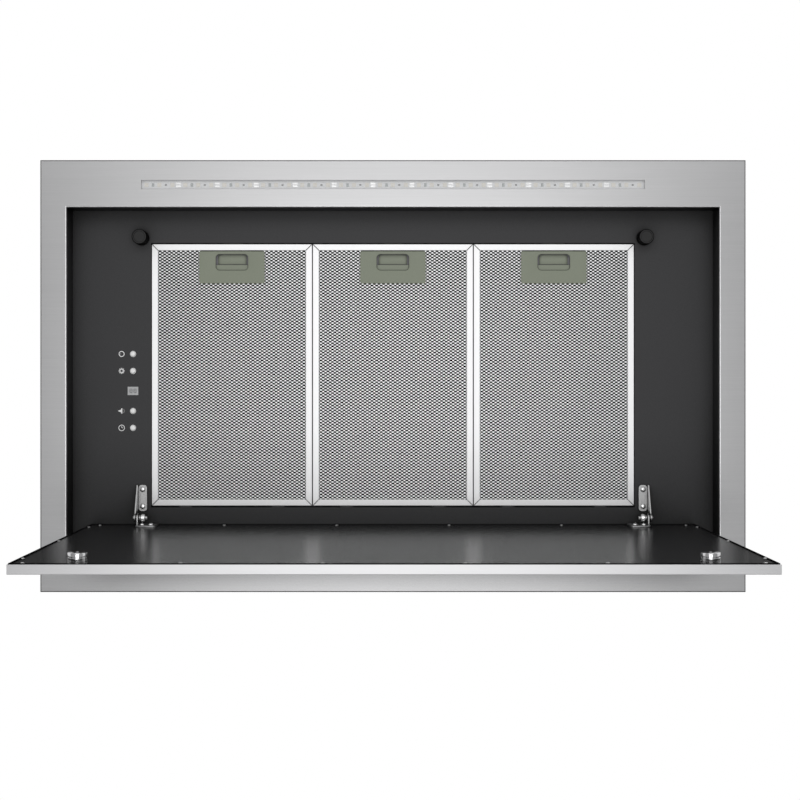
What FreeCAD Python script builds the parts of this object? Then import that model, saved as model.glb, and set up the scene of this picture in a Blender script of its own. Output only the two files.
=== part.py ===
import FreeCAD
import Part
import math
import os

# Ceiling range hood with a perimeter-suction panel, panel hanging open.
# Millimetres. The origin is the middle of the ceiling plane, +Z up into the ceiling.
# -Y is the front, with the light, and +Y the rear, with the panel hinges.

V = FreeCAD.Vector
along_x = V(1, 0, 0)
along_y = V(0, 1, 0)
along_z = V(0, 0, 1)

# Face frame
frame_length = 898.0
frame_width = 550.0
side_border = 33.5
end_border = 60.0
frame_sheet = 1.2
edge_drop = 10.0
ceiling_lip = 12.0
tray_lip = 10.0
lip_step = 3.0
edge_bend = 1.5
fit_gap = 0.2

# Flat sides of small repeated pieces
turned_sides = 24
screw_sides = 6
hex_sides = 6

# Recess tray
recess_depth = 37.0
tray_sheet = 1.0
opening_fold = 12.0

# Housing above the ceiling
housing_top = 300.0
housing_sheet = 1.0
housing_clearance = 1.0
hanger_inset_x = 99.0
hanger_inset_y = 85.0
hanger_hole = 9.0
hanger_width = 40.0
hanger_leg = 34.0
hanger_rise = 25.0
hanger_sheet = 2.5

# Light
light_end_inset = 128.5
light_slot_width = 11.5
light_inset = 31.2
light_lap = 2.5
light_cover_sheet = 1.0
channel_wall = 1.5
channel_height = 6.0
board_sheet = 1.6
emitter_count = 12
emitter_end_inset = 48.8
emitter_length = 6.6
emitter_width = 3.0
emitter_spacing = 3.5
emitter_height = 0.8

# Filters
filter_count = 3
filter_thickness = 10.0
filter_gap = 0.8
filter_side_inset = 135.9
filter_front_inset = 103.4
filter_rear_inset = 106.8
filter_front_gap = 1.4
filter_rear_gap = 2.0
rail_width = 8.2
rail_sheet = 0.8
mesh_sheet = 0.8
lug_pitch = 120.0
lug_width = 16.0
lug_lap = 3.0
lug_sheet = 2.0

# Filter handle and latch
handle_length = 85.0
handle_width = 42.3
handle_inset = 8.7
handle_sheet = 1.4
handle_proud = 0.6
grip_length = 42.0
grip_width = 21.0
grip_depth = 7.0
grip_inset = 4.3
grip_corner = 5.0
grip_wall = 1.6
latch_width = 7.0
latch_lap = 1.2
latch_travel = 6.0
latch_clearance = 0.3
bolt_width = 26.0
bolt_thickness = 2.0

# Panel and its hinges
panel_side_inset = 57.0
panel_shortfall = 144.0
panel_thickness = 10.3
panel_sheet = 1.0
panel_bend = 0.8
panel_lip = 14.0
plate_clearance = 0.2
plate_rim_width = 0.8
plate_rim_height = 1.2
pivot_inset = 93.0
pivot_height = 20.0
pivot_to_face = 10.5
panel_overhang = 17.5
panel_screw_diameter = 4.4
panel_screw_head = 0.8
screw_edge_long = 9.5
screw_edge_short = 4.4
screw_row_inset = 14.0
screw_pitch = 145.0
screw_side_inset = 40.0
screw_side_lift = 7.5
screws_per_row = 6
screws_per_side = 3

hinge_inset = 60.8
hinge_sheet = 2.0
hinge_base_width = 13.3
hinge_base_length = 34.0
hinge_base_rear = 7.0
hinge_arm_width = 26.4
hinge_arm_length = 31.3
hinge_arm_drop = 3.2
hinge_arm_screw_near = 6.7
hinge_arm_screw_far = 18.0
hinge_ear = 5.5
hinge_corner = 4.0
hinge_lug_gap = 1.5
hinge_bolt_diameter = 5.0
hinge_running = 0.05
hinge_head = 6.0
hinge_head_height = 1.6
hinge_spacer_length = 3.6
hinge_nut_width = 9.0
hinge_nut_length = 5.0
hinge_bolt_tail = 3.0
hinge_screw_diameter = 6.8
hinge_screw_head = 1.2
hinge_screw_inset = 6.0

# Catches on the tray and studs on the panel
stud_side_inset = 66.0
catch_diameter = 19.5
stud_diameter = 20.0
stud_height = 9.5
stud_inset = 27.0
stud_groove = 1.0
stud_groove_width = 1.0
catch_gap = 0.6

# Control column
control_inset = 111.5
control_y = 19.0
button_diameter = 7.4
button_proud = 1.6
button_clearance = 0.3
button_flange = 10.0
button_flange_height = 1.2
button_travel = 1.0
button_inner_offset = 26.0
button_outer_offset = 48.0
display_length = 13.8
display_width = 10.8
display_clearance = 0.2
control_board_width = 26.0
control_board_length = 124.0
carrier_wall = 2.0
carrier_height = 4.6
switch_size = 6.0
switch_gap = 0.2

# Duct collar and back-draft flaps
collar_diameter = 149.2
collar_wall = 1.0
collar_height = 52.0
collar_flange = 16.0
collar_y = 30.0
damper_height = 18.0
damper_rod_diameter = 4.0
damper_running = 0.05
damper_knuckle = 7.2
damper_sheet = 1.0
damper_edge_gap = 2.0
damper_stop = 8.0
damper_stop_gap = 0.3
damper_knuckle_gap = 0.6
damper_knuckle_end = 60.0

# Blower
impeller_diameter = 140.0
impeller_width = 76.0
impeller_blades = 20
blade_depth = 12.0
blade_sheet = 1.0
blade_sweep = 9.0
blade_fold = 0.3
impeller_sheet = 2.0
hub_diameter = 24.0
hub_length = 20.0
shaft_diameter = 8.0
shaft_running = 0.05
tongue_gap = 8.0
scroll_growth = 12.0
scroll_side_gap = 6.0
scroll_sheet = 1.0
tongue_offset = 25.0
outlet_rise = 95.0
outlet_flange = 12.0
transition_height = 42.0
transition_folds = 16
inlet_diameter = 116.0
inlet_sides = 36
motor_diameter = 80.0
motor_length = 64.0
motor_bearing_depth = 8.0
capacitor_length = 46.0
capacitor_width = 32.0
capacitor_thickness = 20.0

# Electrics
box_length = 160.0
box_width = 120.0
box_height = 50.0
box_wall = 2.0
board_edge = 1.0
box_inset = 169.0
box_y = 10.0
gland_bore = 9.0
gland_hex = 22.0
gland_height = 20.0
gland_clearance = 0.5
driver_length = 150.0
driver_width = 30.0
driver_height = 28.0
driver_inset = 209.0
cable_width = 6.0
cable_thickness = 3.0
cable_bend = 8.0
cable_slot = 10.0
cable_drop = 37.0

# Places that follow from the sizes above
frame_half_x = frame_length / 2
frame_half_y = frame_width / 2
opening_x = frame_half_x - side_border
opening_y = frame_half_y - end_border
face_z = -edge_drop
tray_lip_z = -lip_step
back_z = face_z + recess_depth
shelf_z = back_z + tray_sheet
housing_x = frame_half_x - ceiling_lip - housing_clearance
housing_y = frame_half_y - ceiling_lip - housing_clearance
ceiling_z = housing_top - housing_sheet

hanger_pitch_x = frame_length - 2 * hanger_inset_x
hanger_pitch_y = frame_width - 2 * hanger_inset_y

light_slot_length = frame_length - 2 * light_end_inset
emitter_pitch = (light_slot_length - 2 * emitter_end_inset) / (emitter_count - 1)
light_y = -frame_half_y + light_inset
light_back_z = face_z + frame_sheet + channel_height - channel_wall
light_board_z = light_back_z - board_sheet
light_inner_x = light_slot_length / 2 + light_lap
light_inner_y = light_slot_width / 2 + light_lap

bank_half_x = frame_half_x - filter_side_inset
filter_pitch = (2 * bank_half_x + filter_gap) / filter_count
filter_width = filter_pitch - filter_gap
filter_front = -frame_half_y + filter_front_inset
filter_rear = frame_half_y - filter_rear_inset
filter_length = filter_rear - filter_front
bank_opening_x = bank_half_x + filter_gap
bank_opening_front = filter_front - filter_front_gap
bank_opening_rear = filter_rear + filter_rear_gap
lug_z = shelf_z + fit_gap
handle_z = back_z - handle_proud
grip_front = filter_front + handle_inset + grip_inset
grip_rear = grip_front + grip_width
grip_floor = handle_z + grip_depth
latch_run = latch_lap + latch_travel + latch_clearance
bolt_z = grip_floor - fit_gap - bolt_thickness

panel_length = frame_length - 2 * panel_side_inset
panel_width = frame_width - panel_shortfall
pivot_y = frame_half_y - pivot_inset
pivot_z = back_z - pivot_height
hinge_x = panel_length / 2 - hinge_inset
catch_x = panel_length / 2 - stud_side_inset
panel_inner_y = pivot_y + pivot_to_face
panel_outer_y = panel_inner_y + panel_thickness
panel_top_z = pivot_z + panel_overhang
panel_bottom_z = panel_top_z - panel_width
stud_z = panel_bottom_z + stud_inset
catch_y = pivot_y - (pivot_z - stud_z)
catch_height = pivot_height + pivot_to_face - stud_height - catch_gap

control_x = -frame_half_x + control_inset
box_x = -frame_half_x + box_inset
driver_x = -frame_half_x + driver_inset

collar_radius = collar_diameter / 2
duct_radius = collar_radius - collar_wall
damper_z = housing_top + damper_height

impeller_radius = impeller_diameter / 2
scroll_radius = impeller_radius + tongue_gap
scroll_half_x = impeller_width / 2 + scroll_side_gap
scroll_right = 3 * scroll_growth + scroll_radius
blower_y = collar_y - (tongue_offset + scroll_right) / 2
outlet_z = ceiling_z - transition_height
blower_z = outlet_z - outlet_rise


def block(x0, x1, y0, y1, z0, z1):
    return Part.makeBox(x1 - x0, y1 - y0, z1 - z0, V(x0, y0, z0))


def slab(half_x, half_y, z0, z1, x=0.0, y=0.0):
    return block(x - half_x, x + half_x, y - half_y, y + half_y, z0, z1)


def round_bar(diameter, length, base, axis):
    return Part.makeCylinder(diameter / 2, length, base, axis)


def polygon_bar(sides, across, length, seat, axis):
    turn = FreeCAD.Rotation(along_z, axis)
    radius = across / 2 / math.cos(math.pi / sides)
    corners = [V(math.cos(a), math.sin(a), 0) * radius for a in turns(sides)]
    return prism([seat + turn.multVec(p) for p in corners], axis * length)


def screw_head(diameter, height, seat, axis):
    return polygon_bar(screw_sides, diameter, height, seat, axis)


def turns(count):
    return [2 * math.pi * (i + 0.5) / count for i in range(count)]


def prism(points, along):
    wire = Part.makePolygon(points + points[:1])
    return Part.Face(wire).extrude(along)


def fused(shapes):
    return shapes[0].multiFuse(shapes[1:]).removeSplitter()


def mirrored(shape):
    return shape.mirror(V(0, 0, 0), along_x)


def both_sides(shape):
    return [shape, mirrored(shape)]


def save(node, shape):
    solids = shape if isinstance(shape, list) else [shape]
    whole = solids[0] if len(solids) == 1 else Part.makeCompound(solids)
    whole.exportStep("parts/" + node + ".step")


def face_frame():
    ring = slab(frame_half_x, frame_half_y, face_z, 0)
    ring = ring.cut(slab(opening_x, opening_y, face_z, 0))
    edges = [e for e in ring.Edges if e.BoundBox.ZMax < face_z + frame_sheet]
    ring = ring.makeFillet(edge_bend, edges)
    step = slab(frame_half_x - ceiling_lip, frame_half_y - ceiling_lip, tray_lip_z, 0)
    hollow = slab(frame_half_x - frame_sheet, frame_half_y - frame_sheet, face_z + frame_sheet, -frame_sheet)
    hollow = hollow.cut(slab(opening_x + frame_sheet, opening_y + frame_sheet, face_z, 0))
    lip_x = opening_x + tray_lip
    lip_y = opening_y + tray_lip
    hollow = hollow.cut(slab(lip_x, lip_y, tray_lip_z - frame_sheet, tray_lip_z))
    slot = slab(light_slot_length / 2, light_slot_width / 2, face_z, face_z + frame_sheet, 0, light_y)
    return ring.cut(step).cut(hollow).cut(slot)


def button_places():
    return [
        control_y - button_outer_offset,
        control_y - button_inner_offset,
        control_y + button_inner_offset,
        control_y + button_outer_offset,
    ]


def recess_tray():
    pan = slab(opening_x + tray_sheet, opening_y + tray_sheet, tray_lip_z, shelf_z)
    flange = slab(opening_x + tray_lip, opening_y + tray_lip, tray_lip_z, tray_lip_z + tray_sheet)
    pan = pan.fuse(flange).cut(slab(opening_x, opening_y, tray_lip_z, back_z))
    fold_top = shelf_z + opening_fold
    fold = block(
        -bank_opening_x - tray_sheet, bank_opening_x + tray_sheet,
        bank_opening_front - tray_sheet, bank_opening_rear, back_z, fold_top,
    )
    gap = block(-bank_opening_x, bank_opening_x, bank_opening_front, bank_opening_rear, back_z, fold_top)
    pan = pan.fuse(fold).cut(gap)
    for y in button_places():
        hole = button_diameter + 2 * button_clearance
        pan = pan.cut(polygon_bar(turned_sides, hole, tray_sheet, V(control_x, y, back_z), along_z))
    window = slab(
        display_length / 2 + display_clearance, display_width / 2 + display_clearance,
        back_z, shelf_z, control_x, control_y,
    )
    return pan.cut(window).removeSplitter()


def housing_pieces():
    # Sheet box: a top plate, four walls and an inward base flange
    flange_z = tray_lip_z + tray_sheet
    inner_z = flange_z + housing_sheet
    inner_x = housing_x - housing_sheet
    inner_y = housing_y - housing_sheet
    duct = round_bar(2 * duct_radius, housing_sheet, V(0, collar_y, ceiling_z), along_z)
    cable_hole = gland_bore + 2 * gland_clearance
    gland = round_bar(cable_hole, housing_sheet, V(box_x, box_y, ceiling_z), along_z)
    save("housing_top", slab(housing_x, housing_y, ceiling_z, housing_top).cut(duct).cut(gland))
    walls = []
    for side in (-1, 1):
        y = side * (housing_y - housing_sheet / 2)
        x = side * (housing_x - housing_sheet / 2)
        walls.append(slab(housing_x, housing_sheet / 2, flange_z, ceiling_z, 0, y))
        walls.append(slab(housing_sheet / 2, inner_y, flange_z, ceiling_z, x, 0))
    save("housing_walls", walls)
    base = slab(inner_x, inner_y, flange_z, inner_z)
    mouth_x = opening_x + tray_sheet + housing_clearance
    mouth_y = opening_y + tray_sheet + housing_clearance
    base = base.cut(slab(mouth_x, mouth_y, flange_z, inner_z))
    drop = slab(cable_slot / 2, cable_slot / 2, flange_z, inner_z, driver_x, light_y)
    save("housing_base", base.cut(drop))


def hanger_bracket(side_x, side_y):
    hole_x = hanger_pitch_x / 2
    inner = hole_x - hanger_leg / 2
    tab_z = housing_top + hanger_rise
    profile = [
        V(inner - hanger_leg, 0, housing_top),
        V(inner + hanger_sheet, 0, housing_top),
        V(inner + hanger_sheet, 0, tab_z - hanger_sheet),
        V(inner + hanger_leg, 0, tab_z - hanger_sheet),
        V(inner + hanger_leg, 0, tab_z),
        V(inner, 0, tab_z),
        V(inner, 0, housing_top + hanger_sheet),
        V(inner - hanger_leg, 0, housing_top + hanger_sheet),
    ]
    bracket = prism(profile, V(0, hanger_width, 0))
    bracket.translate(V(0, side_y * hanger_pitch_y / 2 - hanger_width / 2, 0))
    hole = V(hole_x, side_y * hanger_pitch_y / 2, tab_z - hanger_sheet)
    bracket = bracket.cut(round_bar(hanger_hole, hanger_sheet, hole, along_z))
    return bracket if side_x > 0 else mirrored(bracket)


def light_pieces():
    floor_z = face_z + frame_sheet
    channel = slab(
        light_inner_x + channel_wall, light_inner_y + channel_wall,
        floor_z, floor_z + channel_height, 0, light_y,
    )
    channel = channel.cut(slab(light_inner_x, light_inner_y, floor_z, light_back_z, 0, light_y))
    inside_x = light_inner_x - fit_gap
    inside_y = light_inner_y - fit_gap
    board = slab(inside_x, inside_y, light_board_z, light_back_z, 0, light_y)
    cover = slab(inside_x, inside_y, floor_z, floor_z + light_cover_sheet, 0, light_y)
    emitters = []
    for i in range(emitter_count):
        x = (i - (emitter_count - 1) / 2) * emitter_pitch
        for side in (-0.5, 0.5):
            y = light_y + side * emitter_spacing
            low = light_board_z - emitter_height
            emitters.append(slab(emitter_length / 2, emitter_width / 2, low, light_board_z, x, y))
    save("led_channel", channel)
    save("led_board", board)
    save("led_cover", cover)
    save("led_emitters", emitters)


def filter_rails(x):
    half_x = filter_width / 2
    half_y = filter_length / 2
    y = filter_front + half_y
    top_z = back_z + filter_thickness
    ring = slab(half_x, half_y, back_z, top_z, x, y)
    ring = ring.cut(slab(half_x - rail_width, half_y - rail_width, back_z, top_z, x, y))
    groove = slab(half_x - rail_sheet, half_y - rail_sheet, back_z + rail_sheet, top_z - rail_sheet, x, y)
    ring = ring.cut(groove)
    ring = ring.cut(bolt_way(x))
    rails = []
    # Mitre cutters, a little larger than the rails all round
    far_x = half_x + rail_sheet
    far_y = half_y + rail_sheet
    near_x = half_x - rail_width - rail_sheet
    near_y = half_y - rail_width - rail_sheet
    low = back_z - rail_sheet
    rise = V(0, 0, filter_thickness + 2 * rail_sheet)
    for side in (-1, 1):
        across = [
            V(x - far_x, y + side * far_y, low),
            V(x + far_x, y + side * far_y, low),
            V(x + near_x, y + side * near_y, low),
            V(x - near_x, y + side * near_y, low),
        ]
        down = [
            V(x + side * far_x, y - far_y, low),
            V(x + side * far_x, y + far_y, low),
            V(x + side * near_x, y + near_y, low),
            V(x + side * near_x, y - near_y, low),
        ]
        end_rail = ring.common(prism(across, rise))
        if side > 0:
            end_rail = with_lugs(end_rail, x)
        rails += [end_rail, ring.common(prism(down, rise))]
    return rails


def with_lugs(rail, x):
    lugs = []
    for side in (-0.5, 0.5):
        middle = x + side * lug_pitch
        lugs.append(block(
            middle - lug_width / 2, middle + lug_width / 2,
            filter_rear - rail_sheet, bank_opening_rear + lug_lap, lug_z, lug_z + lug_sheet,
        ))
    return fused([rail] + lugs)


def bolt_way(x):
    half = bolt_width / 2 + latch_clearance
    return block(x - half, x + half, filter_front, grip_front,
                 bolt_z - fit_gap, bolt_z + bolt_thickness + fit_gap)


def filter_mesh(x):
    # A front and a back sheet of mesh, each cut out around the cup of the handle
    half_x = filter_width / 2 - rail_sheet - fit_gap
    half_y = filter_length / 2 - rail_sheet - fit_gap
    y = filter_front + filter_length / 2
    low = back_z + rail_sheet
    high = back_z + filter_thickness - rail_sheet
    side = grip_length / 2 + grip_wall + fit_gap
    cup_rear = grip_rear + latch_run + grip_wall + fit_gap
    cup = block(x - side, x + side, filter_front, cup_rear, low, high)
    sheets = []
    for z in (low, high - mesh_sheet):
        sheets.append(slab(half_x, half_y, z, z + mesh_sheet, x, y).cut(cup))
    return sheets


def filter_handle(x):
    # Flat plate with a rounded opening, and a cup behind it that houses the latch
    front = filter_front + handle_inset
    plate_top = handle_z + handle_sheet
    side = handle_length / 2
    plate = block(x - side, x + side, front, front + handle_width, handle_z, plate_top)
    edges = [e for e in plate.Edges if e.BoundBox.ZMax < plate_top]
    plate = plate.makeChamfer(handle_proud, edges)
    half = grip_length / 2
    opening = block(x - half, x + half, grip_front, grip_rear, handle_z, plate_top)
    upright = [e for e in opening.Edges if e.BoundBox.ZLength > handle_sheet / 2]
    opening = opening.makeFillet(grip_corner, upright)
    cup = block(x - half - grip_wall, x + half + grip_wall, grip_front - grip_wall,
                grip_rear + latch_run + grip_wall, plate_top, grip_floor + grip_wall)
    well = block(x - half, x + half, grip_front, grip_rear + latch_run, plate_top, grip_floor)
    return fused([plate.cut(opening), cup.cut(well)]).cut(bolt_way(x))


def filter_latch(x):
    # Finger tab behind the rear of the opening, and the bolt that it draws back
    split = grip_rear - latch_width
    half = grip_length / 2 - latch_clearance
    low = handle_z + handle_sheet + fit_gap
    tab = block(x - half, x + half, split, grip_rear + latch_lap, low, grip_floor - fit_gap)
    tip = bank_opening_front + latch_clearance
    bolt = block(x - bolt_width / 2, x + bolt_width / 2, tip, split, bolt_z, bolt_z + bolt_thickness)
    return fused([tab, bolt])


def panel_pieces():
    half = panel_length / 2
    skin = block(-half, half, panel_inner_y, panel_outer_y, panel_bottom_z, panel_top_z)
    edges = [e for e in skin.Edges if e.BoundBox.YMin > panel_outer_y - panel_sheet]
    skin = skin.makeFillet(panel_bend, edges)
    inside = half - panel_sheet
    low = panel_bottom_z + panel_sheet
    high = panel_top_z - panel_sheet
    lip_y = panel_inner_y + panel_sheet
    plate_room = block(-inside, inside, panel_inner_y, lip_y, low, high)
    core = block(-inside, inside, lip_y + panel_sheet, panel_outer_y - panel_sheet, low, high)
    gap = half - panel_lip
    lip_top = lip_y + panel_sheet
    lip_gap = block(-gap, gap, lip_y, lip_top, panel_bottom_z + panel_lip, panel_top_z - panel_lip)
    skin = skin.cut(plate_room).cut(core).cut(lip_gap)
    edge = plate_clearance
    rim_y = panel_inner_y - plate_rim_height
    plate = block(-inside + edge, inside - edge, rim_y, lip_y, low + edge, high - edge)
    edge += plate_rim_width
    plate = plate.cut(block(-inside + edge, inside - edge, rim_y, panel_inner_y, low + edge, high - edge))
    save("panel_skin", skin)
    save("panel_plate", plate)
    screws = []
    for x, z in panel_screw_places():
        seat = V(x, panel_inner_y, z)
        screws.append(screw_head(panel_screw_diameter, panel_screw_head, seat, -along_y))
    save("panel_screws", screws)


def spread(count, reach):
    return [-reach + 2 * reach * i / (count - 1) for i in range(count)]


def panel_screw_places():
    places = []
    row = panel_length / 2 - screw_row_inset
    side = panel_length / 2 - screw_edge_short
    middle = (panel_top_z + panel_bottom_z) / 2
    inner = spread(screws_per_row - 2, screw_pitch * (screws_per_row - 3) / 2)
    for x in [-row] + inner + [row]:
        for end in (-1, 1):
            places.append((x, middle + end * (panel_width / 2 - screw_edge_long)))
    for z in spread(screws_per_side, panel_width / 2 - screw_side_inset):
        for end in (-1, 1):
            places.append((end * side, middle + screw_side_lift + z))
    return places


def stud():
    # Two rings with a waist between them
    ring = (stud_height - stud_groove_width) / 2
    diameters = [stud_diameter, stud_diameter - 2 * stud_groove, stud_diameter]
    lengths = [ring, stud_groove_width, ring]
    seat = V(catch_x, panel_inner_y, stud_z)
    pieces = []
    for diameter, length in zip(diameters, lengths):
        pieces.append(polygon_bar(turned_sides, diameter, length, seat, -along_y))
        seat = seat - along_y * length
    return fused(pieces)


def catch():
    return round_bar(catch_diameter, catch_height, V(catch_x, catch_y, back_z), -along_z)


def hinge_ear_plate(x0, foot):
    ear = round_bar(2 * hinge_ear, hinge_sheet, V(x0, pivot_y, pivot_z), along_x)
    tip = pivot_y + hinge_ear
    points = [V(x0, y, z) for y, z in foot] + [V(x0, tip, pivot_z), V(x0, pivot_y - hinge_ear, pivot_z)]
    plate = prism(points, V(hinge_sheet, 0, 0)).fuse(ear)
    bore = hinge_bolt_diameter + 2 * hinge_running
    return plate.cut(round_bar(bore, hinge_sheet, V(x0, pivot_y, pivot_z), along_x))


def hinge_base():
    outer = hinge_x - hinge_sheet / 2
    rear = pivot_y - hinge_base_rear
    front = rear - hinge_base_length
    low = back_z - hinge_sheet
    foot = [(front, back_z - hinge_sheet - hinge_ear / 2), (front, back_z), (rear, back_z)]
    ear = hinge_ear_plate(outer, foot)
    inner = outer + hinge_sheet - hinge_base_width
    plate = block(inner, outer, front, rear, low, back_z)
    corners = [e for e in plate.Edges if e.BoundBox.XMax < outer and e.BoundBox.ZLength > hinge_sheet / 2]
    return fused([ear, plate.makeFillet(hinge_corner, corners)])


def hinge_lug_x():
    return hinge_x - hinge_sheet / 2 - hinge_lug_gap - hinge_sheet


def hinge_arm():
    outer = hinge_lug_x()
    face = panel_inner_y - hinge_sheet
    top = panel_top_z - hinge_arm_drop
    lug = round_bar(2 * hinge_ear, hinge_sheet, V(outer, pivot_y, pivot_z), along_x)
    web = block(outer, outer + hinge_sheet, pivot_y, face, pivot_z - hinge_ear, pivot_z + hinge_ear)
    lug = lug.fuse(web)
    bore = hinge_bolt_diameter + 2 * hinge_running
    lug = lug.cut(round_bar(bore, hinge_sheet, V(outer, pivot_y, pivot_z), along_x))
    edge = outer + hinge_sheet
    plate = block(edge - hinge_arm_width, edge, face, panel_inner_y, top - hinge_arm_length, top)
    return fused([lug, plate])


def hinge_bolt():
    outer = hinge_x + hinge_sheet / 2
    head = polygon_bar(hex_sides, hinge_head, hinge_head_height, V(outer, pivot_y, pivot_z), along_x)
    inner = hinge_nut_face() - hinge_nut_length - hinge_bolt_tail
    shank = round_bar(hinge_bolt_diameter, outer - inner, V(inner, pivot_y, pivot_z), along_x)
    return fused([head, shank])


def hinge_nut_face():
    return hinge_lug_x() - hinge_spacer_length


def hinge_nut():
    length = hinge_nut_length + hinge_spacer_length - fit_gap
    start = V(hinge_nut_face() - hinge_nut_length, pivot_y, pivot_z)
    bore = hinge_bolt_diameter + 2 * hinge_running
    nut = polygon_bar(hex_sides, hinge_nut_width, length, start, along_x)
    return nut.cut(round_bar(bore, length, start, along_x))


def hinge_screws():
    outer = hinge_x - hinge_sheet / 2
    x = outer + hinge_sheet / 2 - hinge_base_width / 2
    rear = pivot_y - hinge_base_rear
    low = back_z - hinge_sheet
    on_tray = []
    for y in (rear - hinge_screw_inset, rear - hinge_base_length + hinge_screw_inset):
        seat = V(x, y, low)
        on_tray += both_sides(screw_head(hinge_screw_diameter, hinge_screw_head, seat, -along_z))
    face = panel_inner_y - hinge_sheet
    arm_x = hinge_lug_x() + hinge_sheet
    top = panel_top_z - hinge_arm_drop
    middle = top - hinge_arm_length / 2
    on_panel = []
    for short in (hinge_arm_screw_near, hinge_arm_screw_far):
        seat = V(arm_x - short, face, middle)
        on_panel += both_sides(screw_head(hinge_screw_diameter, hinge_screw_head, seat, -along_y))
    save("hinge_tray_screws", on_tray)
    save("hinge_panel_screws", on_panel)


def push_button(y):
    seat = V(control_x, y, back_z - button_proud)
    cap = polygon_bar(turned_sides, button_diameter, tray_sheet + button_proud, seat, along_z)
    flange = slab(button_flange / 2, button_flange / 2, shelf_z, shelf_z + button_flange_height, control_x, y)
    return fused([cap, flange])


def control_pieces():
    board_z = shelf_z + carrier_height
    half_x = control_board_width / 2
    half_y = control_board_length / 2
    carrier = slab(half_x, half_y, shelf_z, board_z, control_x, control_y)
    inside_x = half_x - carrier_wall
    inside_y = half_y - carrier_wall
    carrier = carrier.cut(slab(inside_x, inside_y, shelf_z, board_z, control_x, control_y))
    board = [slab(half_x, half_y, board_z, board_z + board_sheet, control_x, control_y)]
    switch_z = shelf_z + button_flange_height + button_travel + switch_gap
    for y in button_places():
        board.append(slab(switch_size / 2, switch_size / 2, switch_z, board_z, control_x, y))
    save("control_carrier", carrier)
    save("control_board", fused(board))
    save("display", slab(display_length / 2, display_width / 2, back_z, board_z, control_x, control_y))
    for i, y in enumerate(button_places()):
        save("button_" + str(i + 1), push_button(y))


def duct_collar():
    base = V(0, collar_y, housing_top)
    tube = round_bar(collar_diameter, collar_height, base, along_z)
    reach = collar_radius + collar_flange
    flange = slab(reach, reach, housing_top, housing_top + collar_wall, 0, collar_y)
    collar = tube.fuse(flange).cut(round_bar(2 * duct_radius, collar_height, base, along_z))
    stop_z = damper_z - damper_sheet / 2 - damper_stop_gap
    stops = []
    for side in (-1, 1):
        middle = collar_y + side * (duct_radius - damper_stop / 2 + collar_wall / 2)
        stops.append(slab(damper_stop / 2, damper_stop / 2, stop_z - collar_wall, stop_z, 0, middle))
    return fused([collar] + stops)


def damper_rod():
    reach = duct_radius - fit_gap
    return round_bar(damper_rod_diameter, 2 * reach, V(-reach, collar_y, damper_z), along_x)


def damper_flap(side):
    # Half disc whose knuckle takes one half of the rod
    radius = duct_radius - damper_edge_gap
    low = damper_z - damper_sheet / 2
    high = low + damper_sheet
    disc = round_bar(2 * radius, damper_sheet, V(0, collar_y, low), along_z)
    near = damper_knuckle / 2 + damper_knuckle_gap
    half = sorted([collar_y + side * near, collar_y + side * radius])
    plate = disc.common(block(-radius, radius, half[0], half[1], low, high))
    span = sorted([side * damper_knuckle_gap / 2, side * damper_knuckle_end])
    start = V(span[0], collar_y, damper_z)
    knuckle = polygon_bar(hex_sides, damper_knuckle, span[1] - span[0], start, along_x)
    neck = sorted([collar_y, collar_y + side * (near + damper_sheet)])
    flap = fused([plate, knuckle, block(span[0], span[1], neck[0], neck[1], low, high)])
    bore = damper_rod_diameter + 2 * damper_running
    return flap.cut(round_bar(bore, span[1] - span[0], start, along_x))


def arc(middle, radius, start, end):
    def at(angle):
        a = math.radians(angle)
        return V(middle.x, middle.y + radius * math.cos(a), middle.z + radius * math.sin(a))
    return Part.Arc(at(start), at((start + end) / 2), at(end)).toShape()


def scroll_face(grow, x):
    # Spiral of three arcs that share tangents, closed by the straight outlet
    first = scroll_radius + grow
    tongue = tongue_offset - grow
    start = math.degrees(math.acos(tongue / first))
    axis = V(x, blower_y, blower_z)
    second = axis + V(0, scroll_growth, 0)
    third = second + V(0, 0, scroll_growth)
    edges = [
        arc(axis, first, start, 180),
        arc(second, first + scroll_growth, 180, 270),
        arc(third, first + 2 * scroll_growth, 270, 360),
    ]
    right = V(x, blower_y + scroll_right + grow, outlet_z)
    left = V(x, blower_y + tongue, outlet_z)
    outline = [edges[2].Vertexes[-1].Point, right, left, edges[0].Vertexes[0].Point]
    edges += Part.makePolygon(outline).Edges
    return Part.Face(Part.Wire(Part.__sortEdges__(edges)))


def outlet_rect(grow, z0, z1):
    half_x = scroll_half_x + grow
    return block(-half_x, half_x, blower_y + tongue_offset - grow, blower_y + scroll_right + grow, z0, z1)


def scroll_wrap():
    # Spiral wall with its outlet edges folded outward
    across = V(2 * scroll_half_x, 0, 0)
    wall = scroll_face(scroll_sheet, -scroll_half_x).extrude(across)
    wall = wall.cut(scroll_face(0, -scroll_half_x).extrude(across))
    low = outlet_z - scroll_sheet
    front = blower_y + tongue_offset
    rear = blower_y + scroll_right
    folds = [
        block(-scroll_half_x, scroll_half_x, front - outlet_flange, front - scroll_sheet, low, outlet_z),
        block(-scroll_half_x, scroll_half_x, rear + scroll_sheet, rear + outlet_flange, low, outlet_z),
    ]
    return fused([wall] + folds)


def scroll_side(side, opening, sides):
    # Flat plate with a round opening and its outlet edge folded outward
    x = scroll_half_x if side > 0 else -scroll_half_x - scroll_sheet
    sheet = scroll_face(scroll_sheet, x).extrude(V(scroll_sheet, 0, 0))
    sheet = sheet.cut(polygon_bar(sides, opening, scroll_sheet, V(x, blower_y, blower_z), along_x))
    span = sorted([side * (scroll_half_x + scroll_sheet), side * (scroll_half_x + outlet_flange)])
    front = blower_y + tongue_offset - scroll_sheet
    rear = blower_y + scroll_right + scroll_sheet
    fold = block(span[0], span[1], front, rear, outlet_z - scroll_sheet, outlet_z)
    return fused([sheet, fold])


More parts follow.
